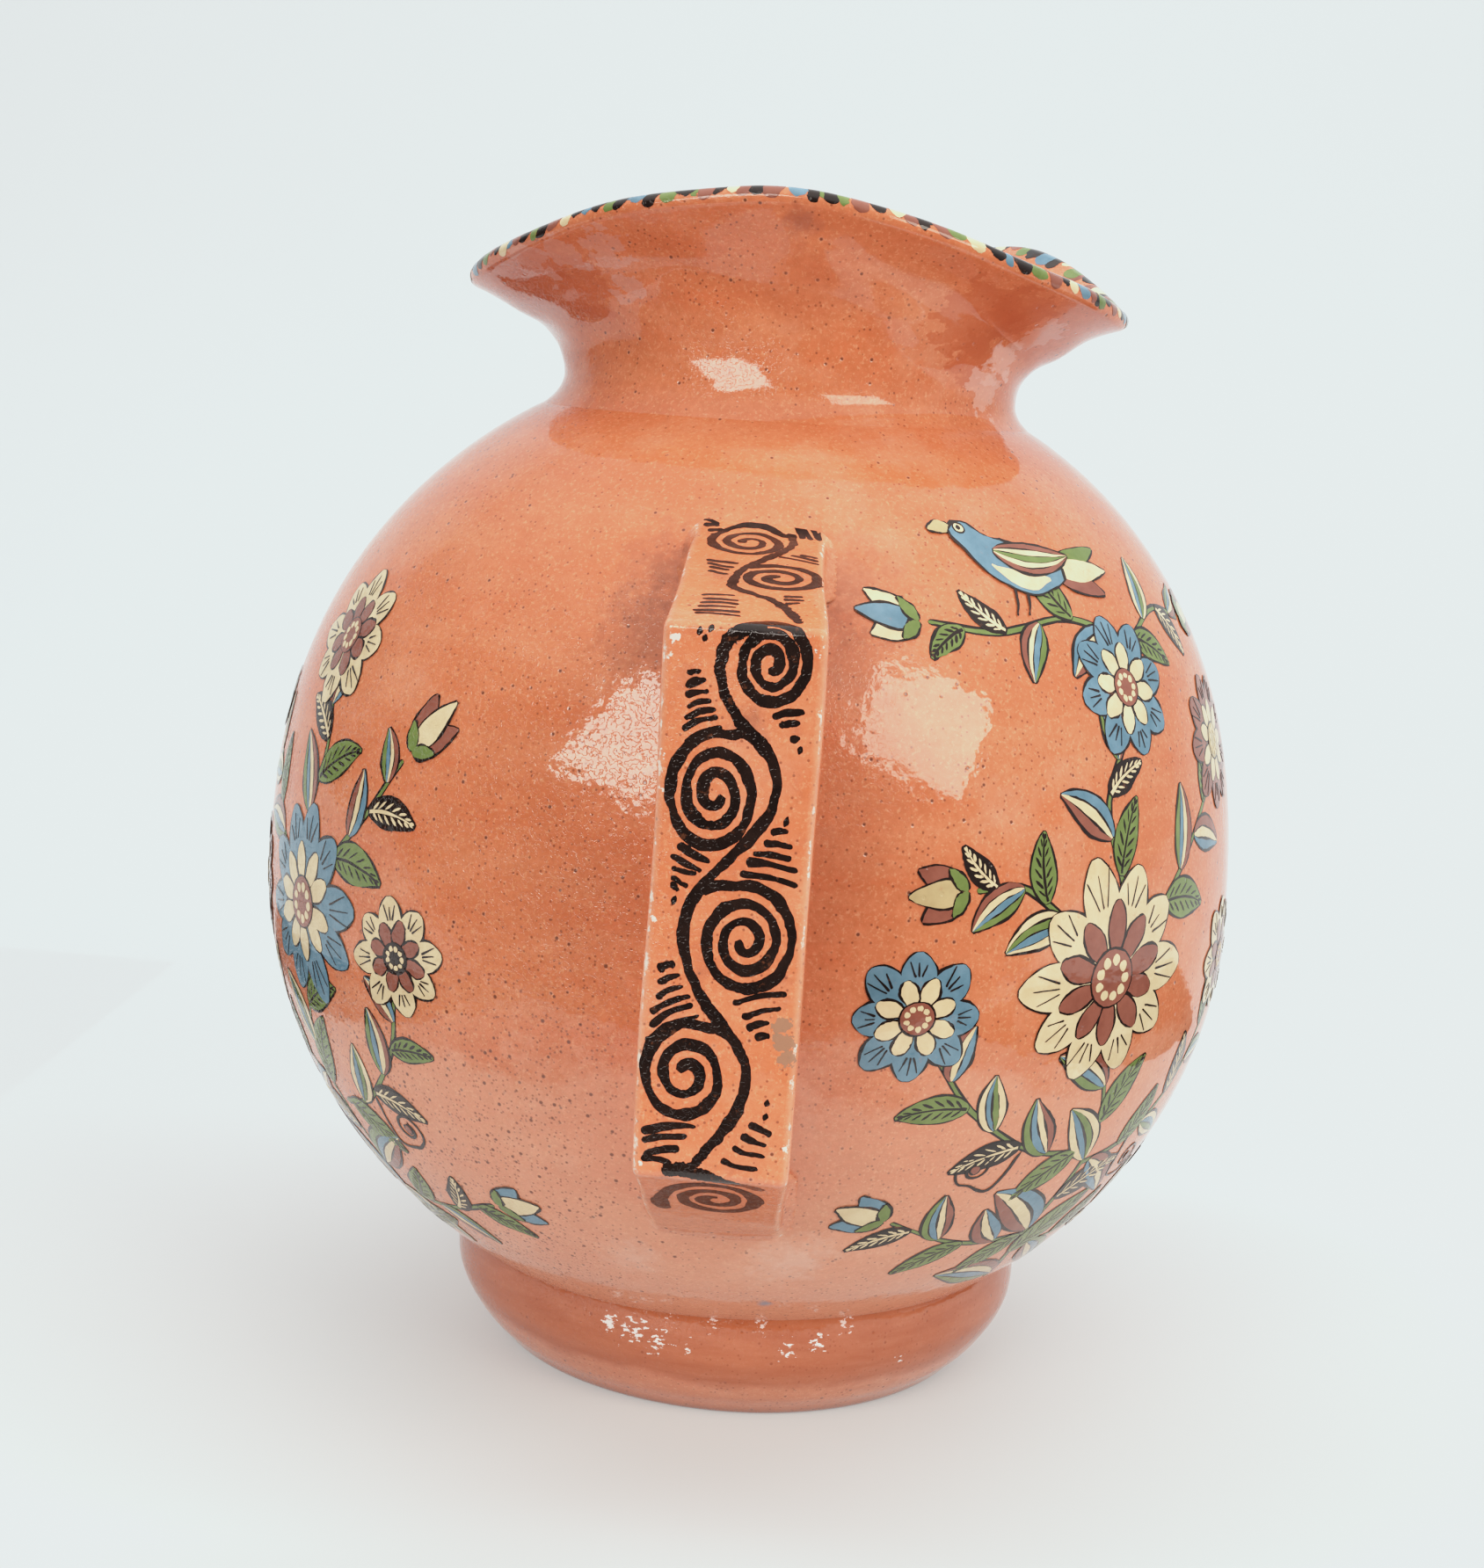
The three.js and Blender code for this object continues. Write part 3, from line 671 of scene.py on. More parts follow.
def handle_rows():
    """Rings of points of the strap: a rectangle with rounded edges, stretched between the inner and the outer
    outline. Its sides swell by a quarter circle where they come near the globe, as smeared slip does."""
    quarter = np.linspace(0, np.pi / 2, edge_steps)
    half_thick = handle_thickness / 2
    angle = np.concatenate([quarter + q * np.pi / 2 for q in range(4)])
    sign_x = np.repeat([1, -1, -1, 1], edge_steps)
    sign_y = np.repeat([1, 1, -1, -1], edge_steps)
    run = strap_run[:, None]
    side = sign_x * (strap_half_width(run) - edge_round) + edge_round * np.cos(angle)
    depth = (sign_y * (half_thick - edge_round) + edge_round * np.sin(angle) + half_thick) / handle_thickness
    face = edge_steps - 1 + np.arange(1, face_steps + 1) / (face_steps + 1)
    edge_and_face = np.concatenate([np.arange(edge_steps), face])
    stations = np.concatenate([q * edge_steps + edge_and_face for q in range(4)])
    low = np.floor(stations).astype(int)
    high = (low + 1) % (4 * edge_steps)
    share = stations - low
    side = side[:, low] * (1 - share) + side[:, high] * share
    depth = (depth[low] * (1 - share) + depth[high] * share)[None]
    push = np.cos(angle)[low] * (1 - share) + np.cos(angle)[high] * share
    line = strap_inner[:, None] + depth[..., None] * (strap_outer - strap_inner)[:, None]
    out = strap_outer - strap_inner
    out = out / np.linalg.norm(out, axis=1, keepdims=True)
    away = np.hypot(side, line[..., 0]) - globe_ring(line[..., 1])
    away = away * globe_slope(line[..., 0], line[..., 1])[0]
    smear = 0.0026
    gap = np.clip(away, 0, smear)
    swell = smear - np.sqrt(smear ** 2 - (smear - gap) ** 2)
    drop = strap_drop(side, run) * np.clip(2 * depth - 1, 0, 1)
    line = line - drop[..., None] * out[:, None]
    side = side + swell * push * np.abs(push)
    return np.stack([side + strap_sway(run), axis_y - line[..., 0], line[..., 1]], axis=-1)


strap_faces = np.gradient(strap_outer, axis=0)
strap_faces /= np.linalg.norm(strap_faces, axis=1, keepdims=True)


def on_handle(side, run, lift):
    """Point of the strap's outer face at a distance from its middle and along it from the top corner, lifted
    off it: the outer outline at that length, less the drop of the face and of the rounded edge."""
    reach = np.interp(run, strap_run, strap_outer[:, 0])
    height = np.interp(run, strap_run, strap_outer[:, 1])
    out_reach = np.interp(run, strap_run, -strap_faces[:, 1])
    out_height = np.interp(run, strap_run, strap_faces[:, 0])
    over = np.clip(np.abs(side) - strap_half_width(run) + edge_round, 0, edge_round * 0.98)
    fall = strap_drop(side, run) + edge_round - np.sqrt(edge_round ** 2 - over ** 2)
    return np.stack([side + strap_sway(run), axis_y - reach - out_reach * (lift - fall),
                     height + out_height * (lift - fall)], axis=-1)


def handle_colour(tree, place):
    """Clay of the handle, paler along the grip than at the joints: grey smudges of the scroll's slip, and
    along the rounded edges pale clay with white spots, partly wear where the glaze is gone and partly a
    painted highlight of the lights on the edges."""
    smudge = between(tree, noise(tree, place, 120.0, 5.0, 0.7), 0.56, 0.74, 0.0, 0.40)
    at_grip = between(tree, part_of(tree, place, "Y"), -0.118, -0.100, 1.0, 0.0)
    colour = mixed(tree, at_grip, clay_colour(tree, place), (1.22, 1.18, 1.20, 1), "MULTIPLY")
    colour = mixed(tree, smudge, colour, (0.28, 0.110, 0.080, 1))
    # Pale along the rounded edges: partly wear, partly painted highlight.
    edge = shader_node(tree, "ShaderNodeAttribute", attribute_name="worn").outputs["Fac"]
    colour = mixed(tree, maths(tree, "MULTIPLY", edge, 0.40), colour, (0.82, 0.44, 0.28, 1))
    bare = maths(tree, "ADD", noise(tree, place, 210.0, 5.0, 0.75), maths(tree, "MULTIPLY", edge, 0.20))
    return mixed(tree, between(tree, bare, 0.72, 0.78, 0.0, 0.85), colour, (0.80, 0.72, 0.64, 1))


def handle_spots(spots):
    """Spots of the handle, given by sideways place, run and radius in millimetres; other values are kept."""
    return [(tuple(on_handle(millimetre * side, millimetre * run, 0.0)), millimetre * radius, *rest)
            for side, run, radius, *rest in spots]


bare_clay_and_glint, chipped, slip_smudge = (0.84, 0.77, 0.70), (0.36, 0.200, 0.130), (0.20, 0.090, 0.066)
# Dark spots along the left side of the upper arm are painted shade where it meets the globe; the white spots
# on the edges are partly bare clay and partly painted glints.
glazed_handle = glaze_over("glazed_handle", flakes_glints_and_reflections(
    stains_and_shade(handle_colour, handle_spots([
        (1.5, 16.8, 4.2, 0.50, slip_smudge), (-9.0, 9.0, 3.2, 0.25, slip_smudge)]) + [
        ((-0.0185, axis_y - reach, height), 0.0085, 0.70, painted_joint_shade)
        for reach, height in ((0.080, 0.193), (0.090, 0.189), (0.102, 0.186), (0.114, 0.182))]),
    (700.0, 700.0, 700.0), handle_spots([
        (11.2, 69.4, 2.9, 0.50, chipped), (11.6, 72.2, 3.2, 0.55, chipped),
        (12.5, 75.2, 2.8, 0.50, chipped), (-11.9, 2.6, 1.9, 0.24, bare_clay_and_glint),
        (-12.7, 5.6, 1.8, 0.20, bare_clay_and_glint), (-12.9, 23.0, 2.6, 0.14, bare_clay_and_glint),
        (-13.0, 29.0, 1.8, 0.14, bare_clay_and_glint), (13.2, 3.2, 2.4, 0.18, bare_clay_and_glint),
        (13.6, 14.0, 1.8, 0.14, bare_clay_and_glint), (-12.6, 52.0, 1.8, 0.12, bare_clay_and_glint),
        (-12.6, 81.0, 1.8, 0.14, bare_clay_and_glint), (13.4, 92.0, 2.2, 0.14, bare_clay_and_glint),
        (13.3, 44.0, 1.4, 0.12, bare_clay_and_glint), (-12.4, 96.6, 1.8, 0.14, bare_clay_and_glint)])))
# How much each point of a ring lies on a rounded edge, where the clay is paled as wear and as painted
# highlight.
edge_wear_and_highlight = 1 - np.abs(np.linspace(-1, 1, edge_steps))
edge_wear_and_highlight_rows = np.tile(np.concatenate([edge_wear_and_highlight, np.zeros(face_steps)]), 4)
pottery_piece("handle", [(shell(handle_rows()), 0)], [glazed_handle],
              ["handle_upper_arm", "handle_grip", "handle_lower_arm"],
              worn=np.concatenate([np.tile(edge_wear_and_highlight_rows, len(strap_outer)), [0, 0]]))

# Scroll on the handle
# Running spirals with combs of short strokes beside them, drawn freehand with a loaded brush in black-brown
# slip under the glaze. The line thins at the worn corner and greys where the slip was thin.
hand = np.random.default_rng(11)
slip_thickness, slip_lift = 0.00003, 0.00003


def brushed(path, half_width, place, lift, across=5):
    """Closed skin of one stroke of slip: a thin band carried along a path of (sideways, along) points and
    laid on the pot by the place function. Its edges stray by a tenth of a millimetre, as a brush leaves them,
    its top is slightly crowned, and its underside lies in the clay."""
    path = np.asarray(path, float)
    ahead = np.gradient(path, axis=0)
    ahead /= np.linalg.norm(ahead, axis=1, keepdims=True)
    beside = np.stack([-ahead[:, 1], ahead[:, 0]], axis=1)
    half = np.broadcast_to(half_width, len(path))[:, None]
    share = np.concatenate([np.linspace(-1, 1, across), [0.9, -0.9]])
    crown = 1 - 0.4 * share[:across] ** 2
    height = slip_thickness * np.concatenate([crown, [-2, -2]])
    stray = hand.normal(0.0, 0.00012, (len(path), 2))
    stray = sum(np.roll(stray, k, axis=0) for k in range(4)) * 0.5
    stray = np.clip(stray, -0.3 * half, 0.3 * half)
    reach = share * (half + np.where(share < 0, stray[:, :1], stray[:, 1:]))
    flat = path[:, None] + beside[:, None] * reach[..., None]
    return shell(place(flat[..., 0], flat[..., 1], lift + height))


def round_ends(path, half_width, tail=1.0):
    """Half-width along a path: round at both ends, narrowing evenly to a share of itself at the tail."""
    run = np.concatenate([[0], np.cumsum(np.linalg.norm(np.diff(path, axis=0), axis=1))])
    width = half_width * (1 + (tail - 1) * run / run[-1])
    near = np.minimum(run, run[-1] - run) / np.maximum(width, 1e-6)
    return width * np.sqrt(np.clip(1 - (1 - np.clip(near, 0.02, 1)) ** 2, 0, 1))


def coil(lead, centre, outer, turns, start, handed, inner=0.10):
    """Path of a spiral from its rim to its middle: the angle runs evenly from the start, left or right
    handed, and the radius shrinks evenly from the outer half-axes to a small share of them. A lead of knots
    comes before it, and all sizes are millimetres."""
    share = np.linspace(0, 1, int(14 * turns))
    angle = np.radians(start) + handed * 2 * np.pi * turns * share
    size = 1 + (inner - 1) * share
    ring = np.array(centre) + np.array(outer) * size[:, None] * np.stack([np.cos(angle), np.sin(angle)], 1)
    knots = np.concatenate([np.array(lead, float).reshape(-1, 2), ring])
    return smooth_line(knots * millimetre, int(60 * turns))


def slip_colour(deep, pale, worn):
    """Colour of a painted slip: slow and fine clouds from deep to pale, and a worn share of bare clay."""
    def colour_of(tree, place):
        cloud = between(tree, noise(tree, place, 170.0, 5.0, 0.65), 0.32, 0.68)
        colour = mixed(tree, cloud, (*deep, 1), (*pale, 1))
        bare = between(tree, noise(tree, place, 420.0, 4.0, 0.7), 0.62, 0.74, 0.0, worn)
        return mixed(tree, bare, colour, (0.46, 0.150, 0.066, 1))
    return colour_of


black_slip = glaze_over("black_slip", slip_colour((0.007, 0.0038, 0.0032), (0.019, 0.010, 0.008), 0.25))
thin_slip = glaze_over("thin_slip", slip_colour((0.016, 0.010, 0.009), (0.050, 0.030, 0.026), 0.15),
                       shine=0.03)
scroll = []


def scroll_line(path, half_width, tail=1.0):
    """Adds one stroke of the scroll to the handle's painting, half-width in millimetres. The brush was
    pressed now more and now less, so the width swells and shrinks by a seventh along the way. On the two arms
    the slip is thinner and the glaze over it rubbed dull."""
    run = np.concatenate([[0], np.cumsum(np.linalg.norm(np.diff(path, axis=0), axis=1))])
    pressed = 1 + 0.14 * np.sin(run / 0.0031 + hand.uniform(0, 6))
    on_arm = int(not 0 <= path[:, 1].mean() <= grip_length + 0.003)
    width = pressed * round_ends(path, half_width * millimetre, tail)
    scroll.append((brushed(path, width, on_handle, slip_lift), on_arm))


for knots, half_width in (
        ([(-0.9, 0.2), (-3.0, 2.6), (-4.0, 6.6), (-3.1, 11.2), (-0.6, 15.6), (2.4, 18.6), (5.6, 22.4),
          (6.9, 27.2), (5.8, 32.2), (2.9, 36.6), (-0.6, 40.6), (-4.2, 44.8), (-6.8, 49.6), (-7.4, 54.6),
          (-6.2, 60.2), (-3.4, 65.4), (0.3, 70.2), (3.8, 74.2), (5.4, 79.2), (4.6, 84.6), (1.8, 89.7),
          (-1.2, 93.6), (-3.4, 97.0)], 1.0),
        ([(6.3, -56.2), (6.4, -49.6), (2.3, -40.6), (-1.6, -33.4), (-3.5, -25.4), (-3.1, -21.1), (0.6, -17.7),
          (4.3, -14.3), (7.6, -7.6), (9.0, -3.0)], 0.90),
        ([(-3.2, 2.6), (-1.0, 1.0), (1.6, -0.2), (3.6, -0.9)], 1.35),
        ([(-8.6, 97.6), (-5.0, 97.2), (-1.5, 98.0), (3.0, 99.6), (7.0, 101.6), (9.4, 104.4)], 1.25)):
    scroll_line(smooth_line(np.array(knots) * millimetre, 260, fine_ends=True), half_width)

for lead, centre, outer, turns, start, handed, half_width in (
        ([(-3.0, 2.8), (-1.2, 0.4)], (4.7, 6.0), (6.9, 8.1), 2.65, 250, 1, 1.05),
        ([(3.6, 19.8), (0.4, 18.4)], (-3.7, 29.2), (8.5, 11.0), 2.8, 286, -1, 1.05),
        ([(-5.0, 46.6), (-2.2, 45.2)], (3.5, 54.8), (8.9, 10.2), 2.85, 252, 1, 1.02),
        ([(2.2, 72.2), (-0.6, 70.6)], (-5.2, 79.6), (8.4, 9.6), 2.3, 296, -1, 1.08),
        ([(6.4, -55.0), (6.2, -58.0)], (-1.7, -50.6), (8.3, 10.2), 2.5, 322, -1, 0.95),
        ([(-1.6, -33.6), (0.4, -35.6)], (4.7, -28.0), (8.6, 8.2), 2.15, 236, 1, 1.05),
        ([(-8.8, 129.0), (-9.6, 122.0)], (0.6, 116), (9.3, 14.5), 2.3, 190, 1, 1.5)):
    scroll_line(coil(lead, centre, outer, turns, start, handed), half_width, 0.85)


def comb(first, last, count, bow):
    """Short strokes side by side: each stroke's two ends are shared out evenly between the first stroke's
    and the last stroke's, and its middle bows a little to one side."""
    first, last = np.array(first, float), np.array(last, float)
    for share in np.linspace(0, 1, count):
        a, b = first + share * (last - first) + hand.normal(0.0, 0.28, (2, 2))
        middle = (a + b) / 2 + bow * np.array([b[1] - a[1], a[0] - b[0]])
        width = hand.uniform(0.56, 0.80)
        scroll_line(smooth_line(np.array([a, middle, b]) * millimetre, 15, fine_ends=True), width, 0.7)


for first, last, count, bow in (
        ([(-9.9, 8.6), (-7.3, 8.0)], [(-9.4, 20.7), (-2.9, 17.5)], 7, 0.08),
        ([(5, 14.8), (11.2, 13.9)], [(8.8, 18.7), (10.2, 18.4)], 3, 0.05),
        ([(6.4, 35.3), (9.5, 35.0)], [(1.5, 42.8), (11.9, 44.3)], 5, 0.04),
        ([(-10, 38.9), (-3.8, 41.4)], [(-10.5, 45.8), (-8.4, 46.4)], 5, -0.05),
        ([(-11.2, 60.9), (-8.7, 60)], [(-12.5, 74.1), (-3.7, 68.7)], 6, 0.08),
        ([(2.1, 66.2), (11.2, 63.9)], [(6.3, 72.1), (8.8, 71.6)], 4, 0.05),
        ([(6.7, 87.6), (10.2, 89.2)], [(1.9, 94.7), (8.4, 96.2)], 4, -0.05),
        ([(-12.7, 90.5), (-2.6, 89.1)], [(-12.3, 96.1), (-6.8, 96.2)], 4, 0.05),
        ([(-12.0, -62), (-8.0, -60.5)], [(-9.5, -54.5), (-7.0, -56.5)], 4, 0.05),
        ([(6.0, -63), (8.5, -56.5)], [(11.5, -61), (12.5, -58)], 4, 0.05),
        ([(-9.0, -37.5), (-2.5, -35.5)], [(-8.0, -30.5), (-5.0, -29.5)], 4, -0.04),
        ([(4.5, -42.5), (12.0, -39.0)], [(8.5, -44.5), (11.5, -43.0)], 3, 0.04),
        ([(-8.5, -15.5), (-3.0, -16.5)], [(-9.5, -5.0), (-1.0, -4.5)], 6, 0.06),
        ([(5.5, -17.5), (9.5, -18.0)], [(6.0, -13.5), (9.0, -14.0)], 3, 0.06)):
    comb(first, last, count, bow)
for dot in ((10, 20.3), (8.5, 33), (-10, 48.3), (8.9, 83.6), (8.8, 86), (-8.3, 1.0), (-7.4, 2.2),
            (-6.4, 0.4)):
    around = np.array([dot, (dot[0] + 1.0, dot[1] + 0.3)]) * millimetre
    scroll_line(smooth_line(around, 13, fine_ends=True), hand.uniform(0.70, 0.95))
pottery_piece("handle_scroll", scroll, [black_slip, thin_slip], crease=0.6)

# Dabs round the rim
# Touches of coloured slip set side by side over the lip, each with a pointed brush, light ones between dark
# ones. Some overlap and a few have run down the outside.
cream_slip = glaze_over("cream_slip", slip_colour((0.62, 0.48, 0.28), (0.74, 0.60, 0.38), 0.35))
brown_slip = glaze_over("brown_slip", slip_colour((0.200, 0.062, 0.042), (0.275, 0.096, 0.066), 0.20))
green_slip = glaze_over("green_slip", slip_colour((0.110, 0.165, 0.040), (0.165, 0.230, 0.070), 0.20))
blue_slip = glaze_over("blue_slip", slip_colour((0.085, 0.180, 0.250), (0.145, 0.260, 0.345), 0.20))
tan_slip = glaze_over("tan_slip", slip_colour((0.42, 0.32, 0.16), (0.54, 0.42, 0.22), 0.30))
slips_of_paint = [black_slip, cream_slip, brown_slip, green_slip, blue_slip, tan_slip]
black, cream, brown, green, blue, tan = range(6)


def on_mouth(turn, over, lift):
    """Point of the mouth at a turn and a distance over the lip, from its crest: outside is negative, inside
    positive. Within a quarter turn it lies on the half-round lip, beyond that on the walls' cubic."""
    turn, over, lift = np.broadcast_arrays(turn, over, lift)
    middle, ahead, under, cubic = mouth_lines(turn)
    half = lip_thickness / 2
    angle = np.clip(over / half, -np.pi / 2, np.pi / 2)[..., None]
    beyond = np.clip(np.abs(over) - half * np.pi / 2, 0, None)
    a, b, c, d = (cubic[..., i, :] for i in range(4))
    t = (1 - beyond / (3 * np.linalg.norm(d - c, axis=-1)))[..., None]
    wall_point = (1 - t) ** 3 * a + 3 * t * (1 - t) ** 2 * b + 3 * t ** 2 * (1 - t) * c + t ** 3 * d
    slope = 3 * (1 - t) ** 2 * (b - a) + 6 * t * (1 - t) * (c - b) + 3 * t ** 2 * (d - c)
    slope /= np.linalg.norm(slope, axis=-1, keepdims=True)
    inward = np.stack([-slope[..., 1], slope[..., 0]], axis=-1)
    thick = wall + (lip_thickness - wall) * t
    lifted = lift[..., None]
    outside = wall_point - lifted * inward
    inside = wall_point + (thick + lifted) * inward
    crest = middle + (half + lifted) * (np.cos(angle) * ahead - np.sin(angle) * under)
    bent = np.where((beyond > 0)[..., None], np.where((over < 0)[..., None], outside, inside), crest)
    return round_axis(turn, bent)


def on_rim(centre, radius):
    """Gives the place function of a dab: distances along the rim and over the lip from the dab's middle."""
    def place(along, over, lift):
        return on_mouth(centre + along / radius, over, lift)
    return place


dabs = []
dab_order = [blue, black, green, black, green, brown, black, cream, brown, black, brown, green, cream, black,
             blue, black, green, brown, black, cream, blue, brown, black, green, black, brown, cream, black,
             blue, black, green, black]
dab_points = 33
dab_turn = 0.0
while dab_turn < 2 * np.pi - 0.03:
    slip = dab_order[len(dabs) % len(dab_order)]
    radius = float(rim_at(np.array(dab_turn))[0])
    half_width = hand.uniform(0.0012, 0.0024)
    run_down = 0.0020 if slip == green and len(dabs) % 4 == 1 else 0.0
    low = -hand.uniform(0.0006, 0.0026) - run_down
    high = hand.uniform(0.0034, 0.0074)
    slant = hand.uniform(-0.0010, 0.0010)
    centre = dab_turn + half_width / radius
    line = smooth_line([(-slant, low), (0.0, 0.0), (slant, high)], dab_points, fine_ends=True)
    swell = round_ends(line, half_width, hand.uniform(0.7, 1.2))
    swell = swell * (1 + 0.22 * np.sin(np.linspace(0, 6, dab_points) + 2.4 * len(dabs)))
    lift = slip_lift + 0.00002 * (len(dabs) % 2)
    dabs.append((brushed(line, swell, on_rim(centre, radius), lift, across=7), slip))
    dab_turn += (2 * half_width + hand.uniform(-0.0012, 0.0004)) / radius
pottery_piece("rim_dabs", dabs, slips_of_paint, crease=0.6)

# Flower sprays
# Folk flowers on both flanks and under the pouring lip. Each shape is first laid in black-brown slip and then
# filled with flat colour a little inside it, so that a dark line is left round it; veins and dots come last.
dark_line = 0.00045
coat_step = 0.000026
painted_radius = 0.112


def on_globe(turn, rise):
    """Gives the place function of a painting: distances to the right and up from a centre on the globe."""
    def place(right, up, lift):
        angle = np.radians(rise) + up / painted_radius
        sine = np.sin(angle)
        power = np.where(sine > 0, shoulder_power, base_power)
        ring = belly_radius * np.sqrt(1 - np.abs(sine) ** power)
        return globe_at(np.radians(turn) + right / ring, angle, lift)
    return place


def layer(number):
    """Height of a coat of slip over the clay."""
    return slip_lift + coat_step * number


def blade(base, tip, bend, width, blunt=0.85, belly=0.8):
    """Middle line and half-width of a leaf or petal, sizes in millimetres: the line is a parabola from base
    to tip, pulled sideways at its middle; the half-width is a power of the sine of a power of the way."""
    base, tip = np.array(base, float), np.array(tip, float)
    on = tip - base
    middle = (base + tip) / 2 + bend * np.array([-on[1], on[0]]) / np.linalg.norm(on)
    t = (1 - np.cos(np.pi * np.linspace(0.03, 0.97, 21)[:, None])) / 2
    line = (1 - t) ** 2 * base + 2 * t * (1 - t) * middle + t ** 2 * tip
    return line * millimetre, width * millimetre / 2 * np.sin(np.pi * t[:, 0] ** belly) ** blunt


def offset(line, half, share):
    """A line beside another, at a share of its half-width."""
    ahead = np.gradient(line, axis=0)
    ahead /= np.linalg.norm(ahead, axis=1, keepdims=True)
    return line + np.stack([-ahead[:, 1], ahead[:, 0]], axis=1) * (share * half)[:, None]


def toward(angle, length=1.0):
    """A step of that length at an angle in degrees."""
    return length * np.array([np.cos(np.radians(angle)), np.sin(np.radians(angle))])


class Spray:
    """One painting on the globe: shapes of slip, laid on by a place function."""

    def __init__(self, turn, rise):
        self.place = on_globe(turn, rise)
        self.shapes = []

    def lay(self, line, half, slip, coat, across=5):
        """Adds one shape of slip."""
        self.shapes.append((brushed(line, half, self.place, layer(coat), across), slip))

    def line(self, knots, half, slip, coat, tail=0.5, fine=8):
        """A brush line through knots in millimetres."""
        path = smooth_line(np.array(knots, float) * millimetre, 4 + fine * (len(knots) - 1), fine_ends=True)
        self.lay(path, round_ends(path, half * millimetre, tail), slip, coat, across=3)

    def dot(self, at, radius, slip, coat, dark=True):
        """A round touch of slip, with a dark rim."""
        for grow, colour, up in ((0.35, black, 0), (0.0, slip, 1)) if dark else ((0.0, slip, 1),):
            size = radius + grow
            angle = np.linspace(0.15, np.pi - 0.15, 11)
            path = np.array(at) - size * np.stack([np.cos(angle), 0 * angle], 1)
            self.lay(path * millimetre, size * millimetre * np.sin(angle), colour, coat + up)

    def filled(self, base, tip, bend, width, slip, coat, blunt=0.85, belly=0.8):
        """A leaf or petal of one colour inside a dark line."""
        line, half = blade(base, tip, bend, width, blunt, belly)
        self.lay(line, half + dark_line, black, coat)
        self.lay(line[1:-1], half[1:-1], slip, coat + 1)

    def striped(self, base, tip, bend, width, slips, coat):
        """A leaf in stripes that run from base to tip, with dark lines left between them."""
        line, half = blade(base, tip, bend, width)
        self.lay(line, half + dark_line, black, coat)
        many = len(slips)
        for k, slip in enumerate(slips):
            share = -1 + (2 * k + 1) / many
            self.lay(offset(line, half, share)[1:-1], (half / many * 0.82)[1:-1], slip, coat + 1, across=3)

    def dashed(self, base, tip, bend, width, slip, coat, stroke=black):
        """A leaf of one colour with a vein and two rows of short strokes aslant from it."""
        self.filled(base, tip, bend, width, slip, coat)
        line, half = blade(base, tip, bend, width)
        self.lay(line[2:-3], np.linspace(0.00036, 0.00016, 21)[2:-3], stroke, coat + 2, across=3)
        for share in (-1, 1):
            for k in range(4, 17, 2):
                start = offset(line, half, 0.18 * share)[k]
                end = offset(line, half, 0.72 * share)[min(k + 2, 20)]
                dash = start + np.linspace(0, 1, 5)[:, None] * (end - start)
                self.lay(dash, round_ends(dash, 0.00024), stroke, coat + 2, across=3)

    def leafy(self, knots, leaves, length, slips, first_side):
        """A stalk with leaves along it, set left and right by turns and leaning forward; they shrink towards
        its tip and take the colours in turn, striped where a colour is given as several."""
        self.line(knots, 0.95, black, 0, tail=0.75)
        self.line(knots, 0.46, green, 1, tail=0.75)
        path = smooth_line(knots, 60)
        for k in range(leaves):
            share = (k + 0.35) / leaves
            at = path[int(share * 58)]
            on = path[int(share * 58) + 1] - at
            side = first_side * (-1) ** k
            angle = np.degrees(np.arctan2(on[1], on[0])) + side * hand.uniform(40, 58)
            long = length * (1.05 - 0.35 * share) * hand.uniform(0.9, 1.1)
            slip = slips[k % len(slips)]
            tip = at + toward(angle, long)
            if isinstance(slip, list):
                self.striped(at, tip, -side * 0.14 * long, 0.44 * long, slip, 2)
            elif slip == black:
                self.dashed(at, tip, -side * 0.14 * long, 0.40 * long, black, 2, stroke=cream)
            else:
                self.dashed(at, tip, -side * 0.14 * long, 0.42 * long, slip, 2)

    def blossom(self, at, size, petals, tilt, slips):
        """A flower seen from the front: a ring of veined petals, a ring of smaller ones between them, a dark
        heart and a ring of light dots."""
        coat = 6
        at = np.array(at, float)
        for ring, (reach, wide, slip) in enumerate(((1.0, 1.72, slips[0]), (0.62, 1.36, slips[1]))):
            for k in range(petals):
                angle = tilt + 360 * (k + 0.5 * ring) / petals + hand.uniform(-3, 3)
                way = toward(angle)
                far = size * reach * hand.uniform(0.92, 1.05)
                width = wide * reach * size * np.pi / petals * 0.76
                self.filled(at + 0.16 * size * way, at + far * way, 0, width, slip, coat + 2 * ring,
                            blunt=0.62, belly=1.18)
                if ring == 0:
                    for swing in (-9, 0, 9):
                        start = at + toward(angle + 0.5 * swing, 0.60 * size)
                        end = at + toward(angle + swing, far * hand.uniform(0.80, 0.92))
                        self.line([start, end], 0.22, black, coat + 4, fine=4)
        self.dot(at, 0.25 * size, slips[2], coat + 5)
        for k in range(9):
            self.dot(at + toward(40 * k, 0.16 * size), 0.045 * size, cream, coat + 7, dark=False)

    def bud(self, at, angle, size, slips):
        """A closed flower: two side petals behind a middle one, in a green cup."""
        coat = 5
        at = np.array(at, float)
        petals = ((-26, 1.0, slips[0], 0), (26, 1.0, slips[0], 0), (0, 1.12, slips[1], 2))
        for swing, long, slip, up in petals:
            self.filled(at, at + toward(angle + swing, size * long), 0, size * 0.46, slip, coat + up)
        for swing in (-52, 52):
            self.filled(at, at + toward(angle + swing, 0.52 * size), 0, size * 0.22, green, coat + 4)

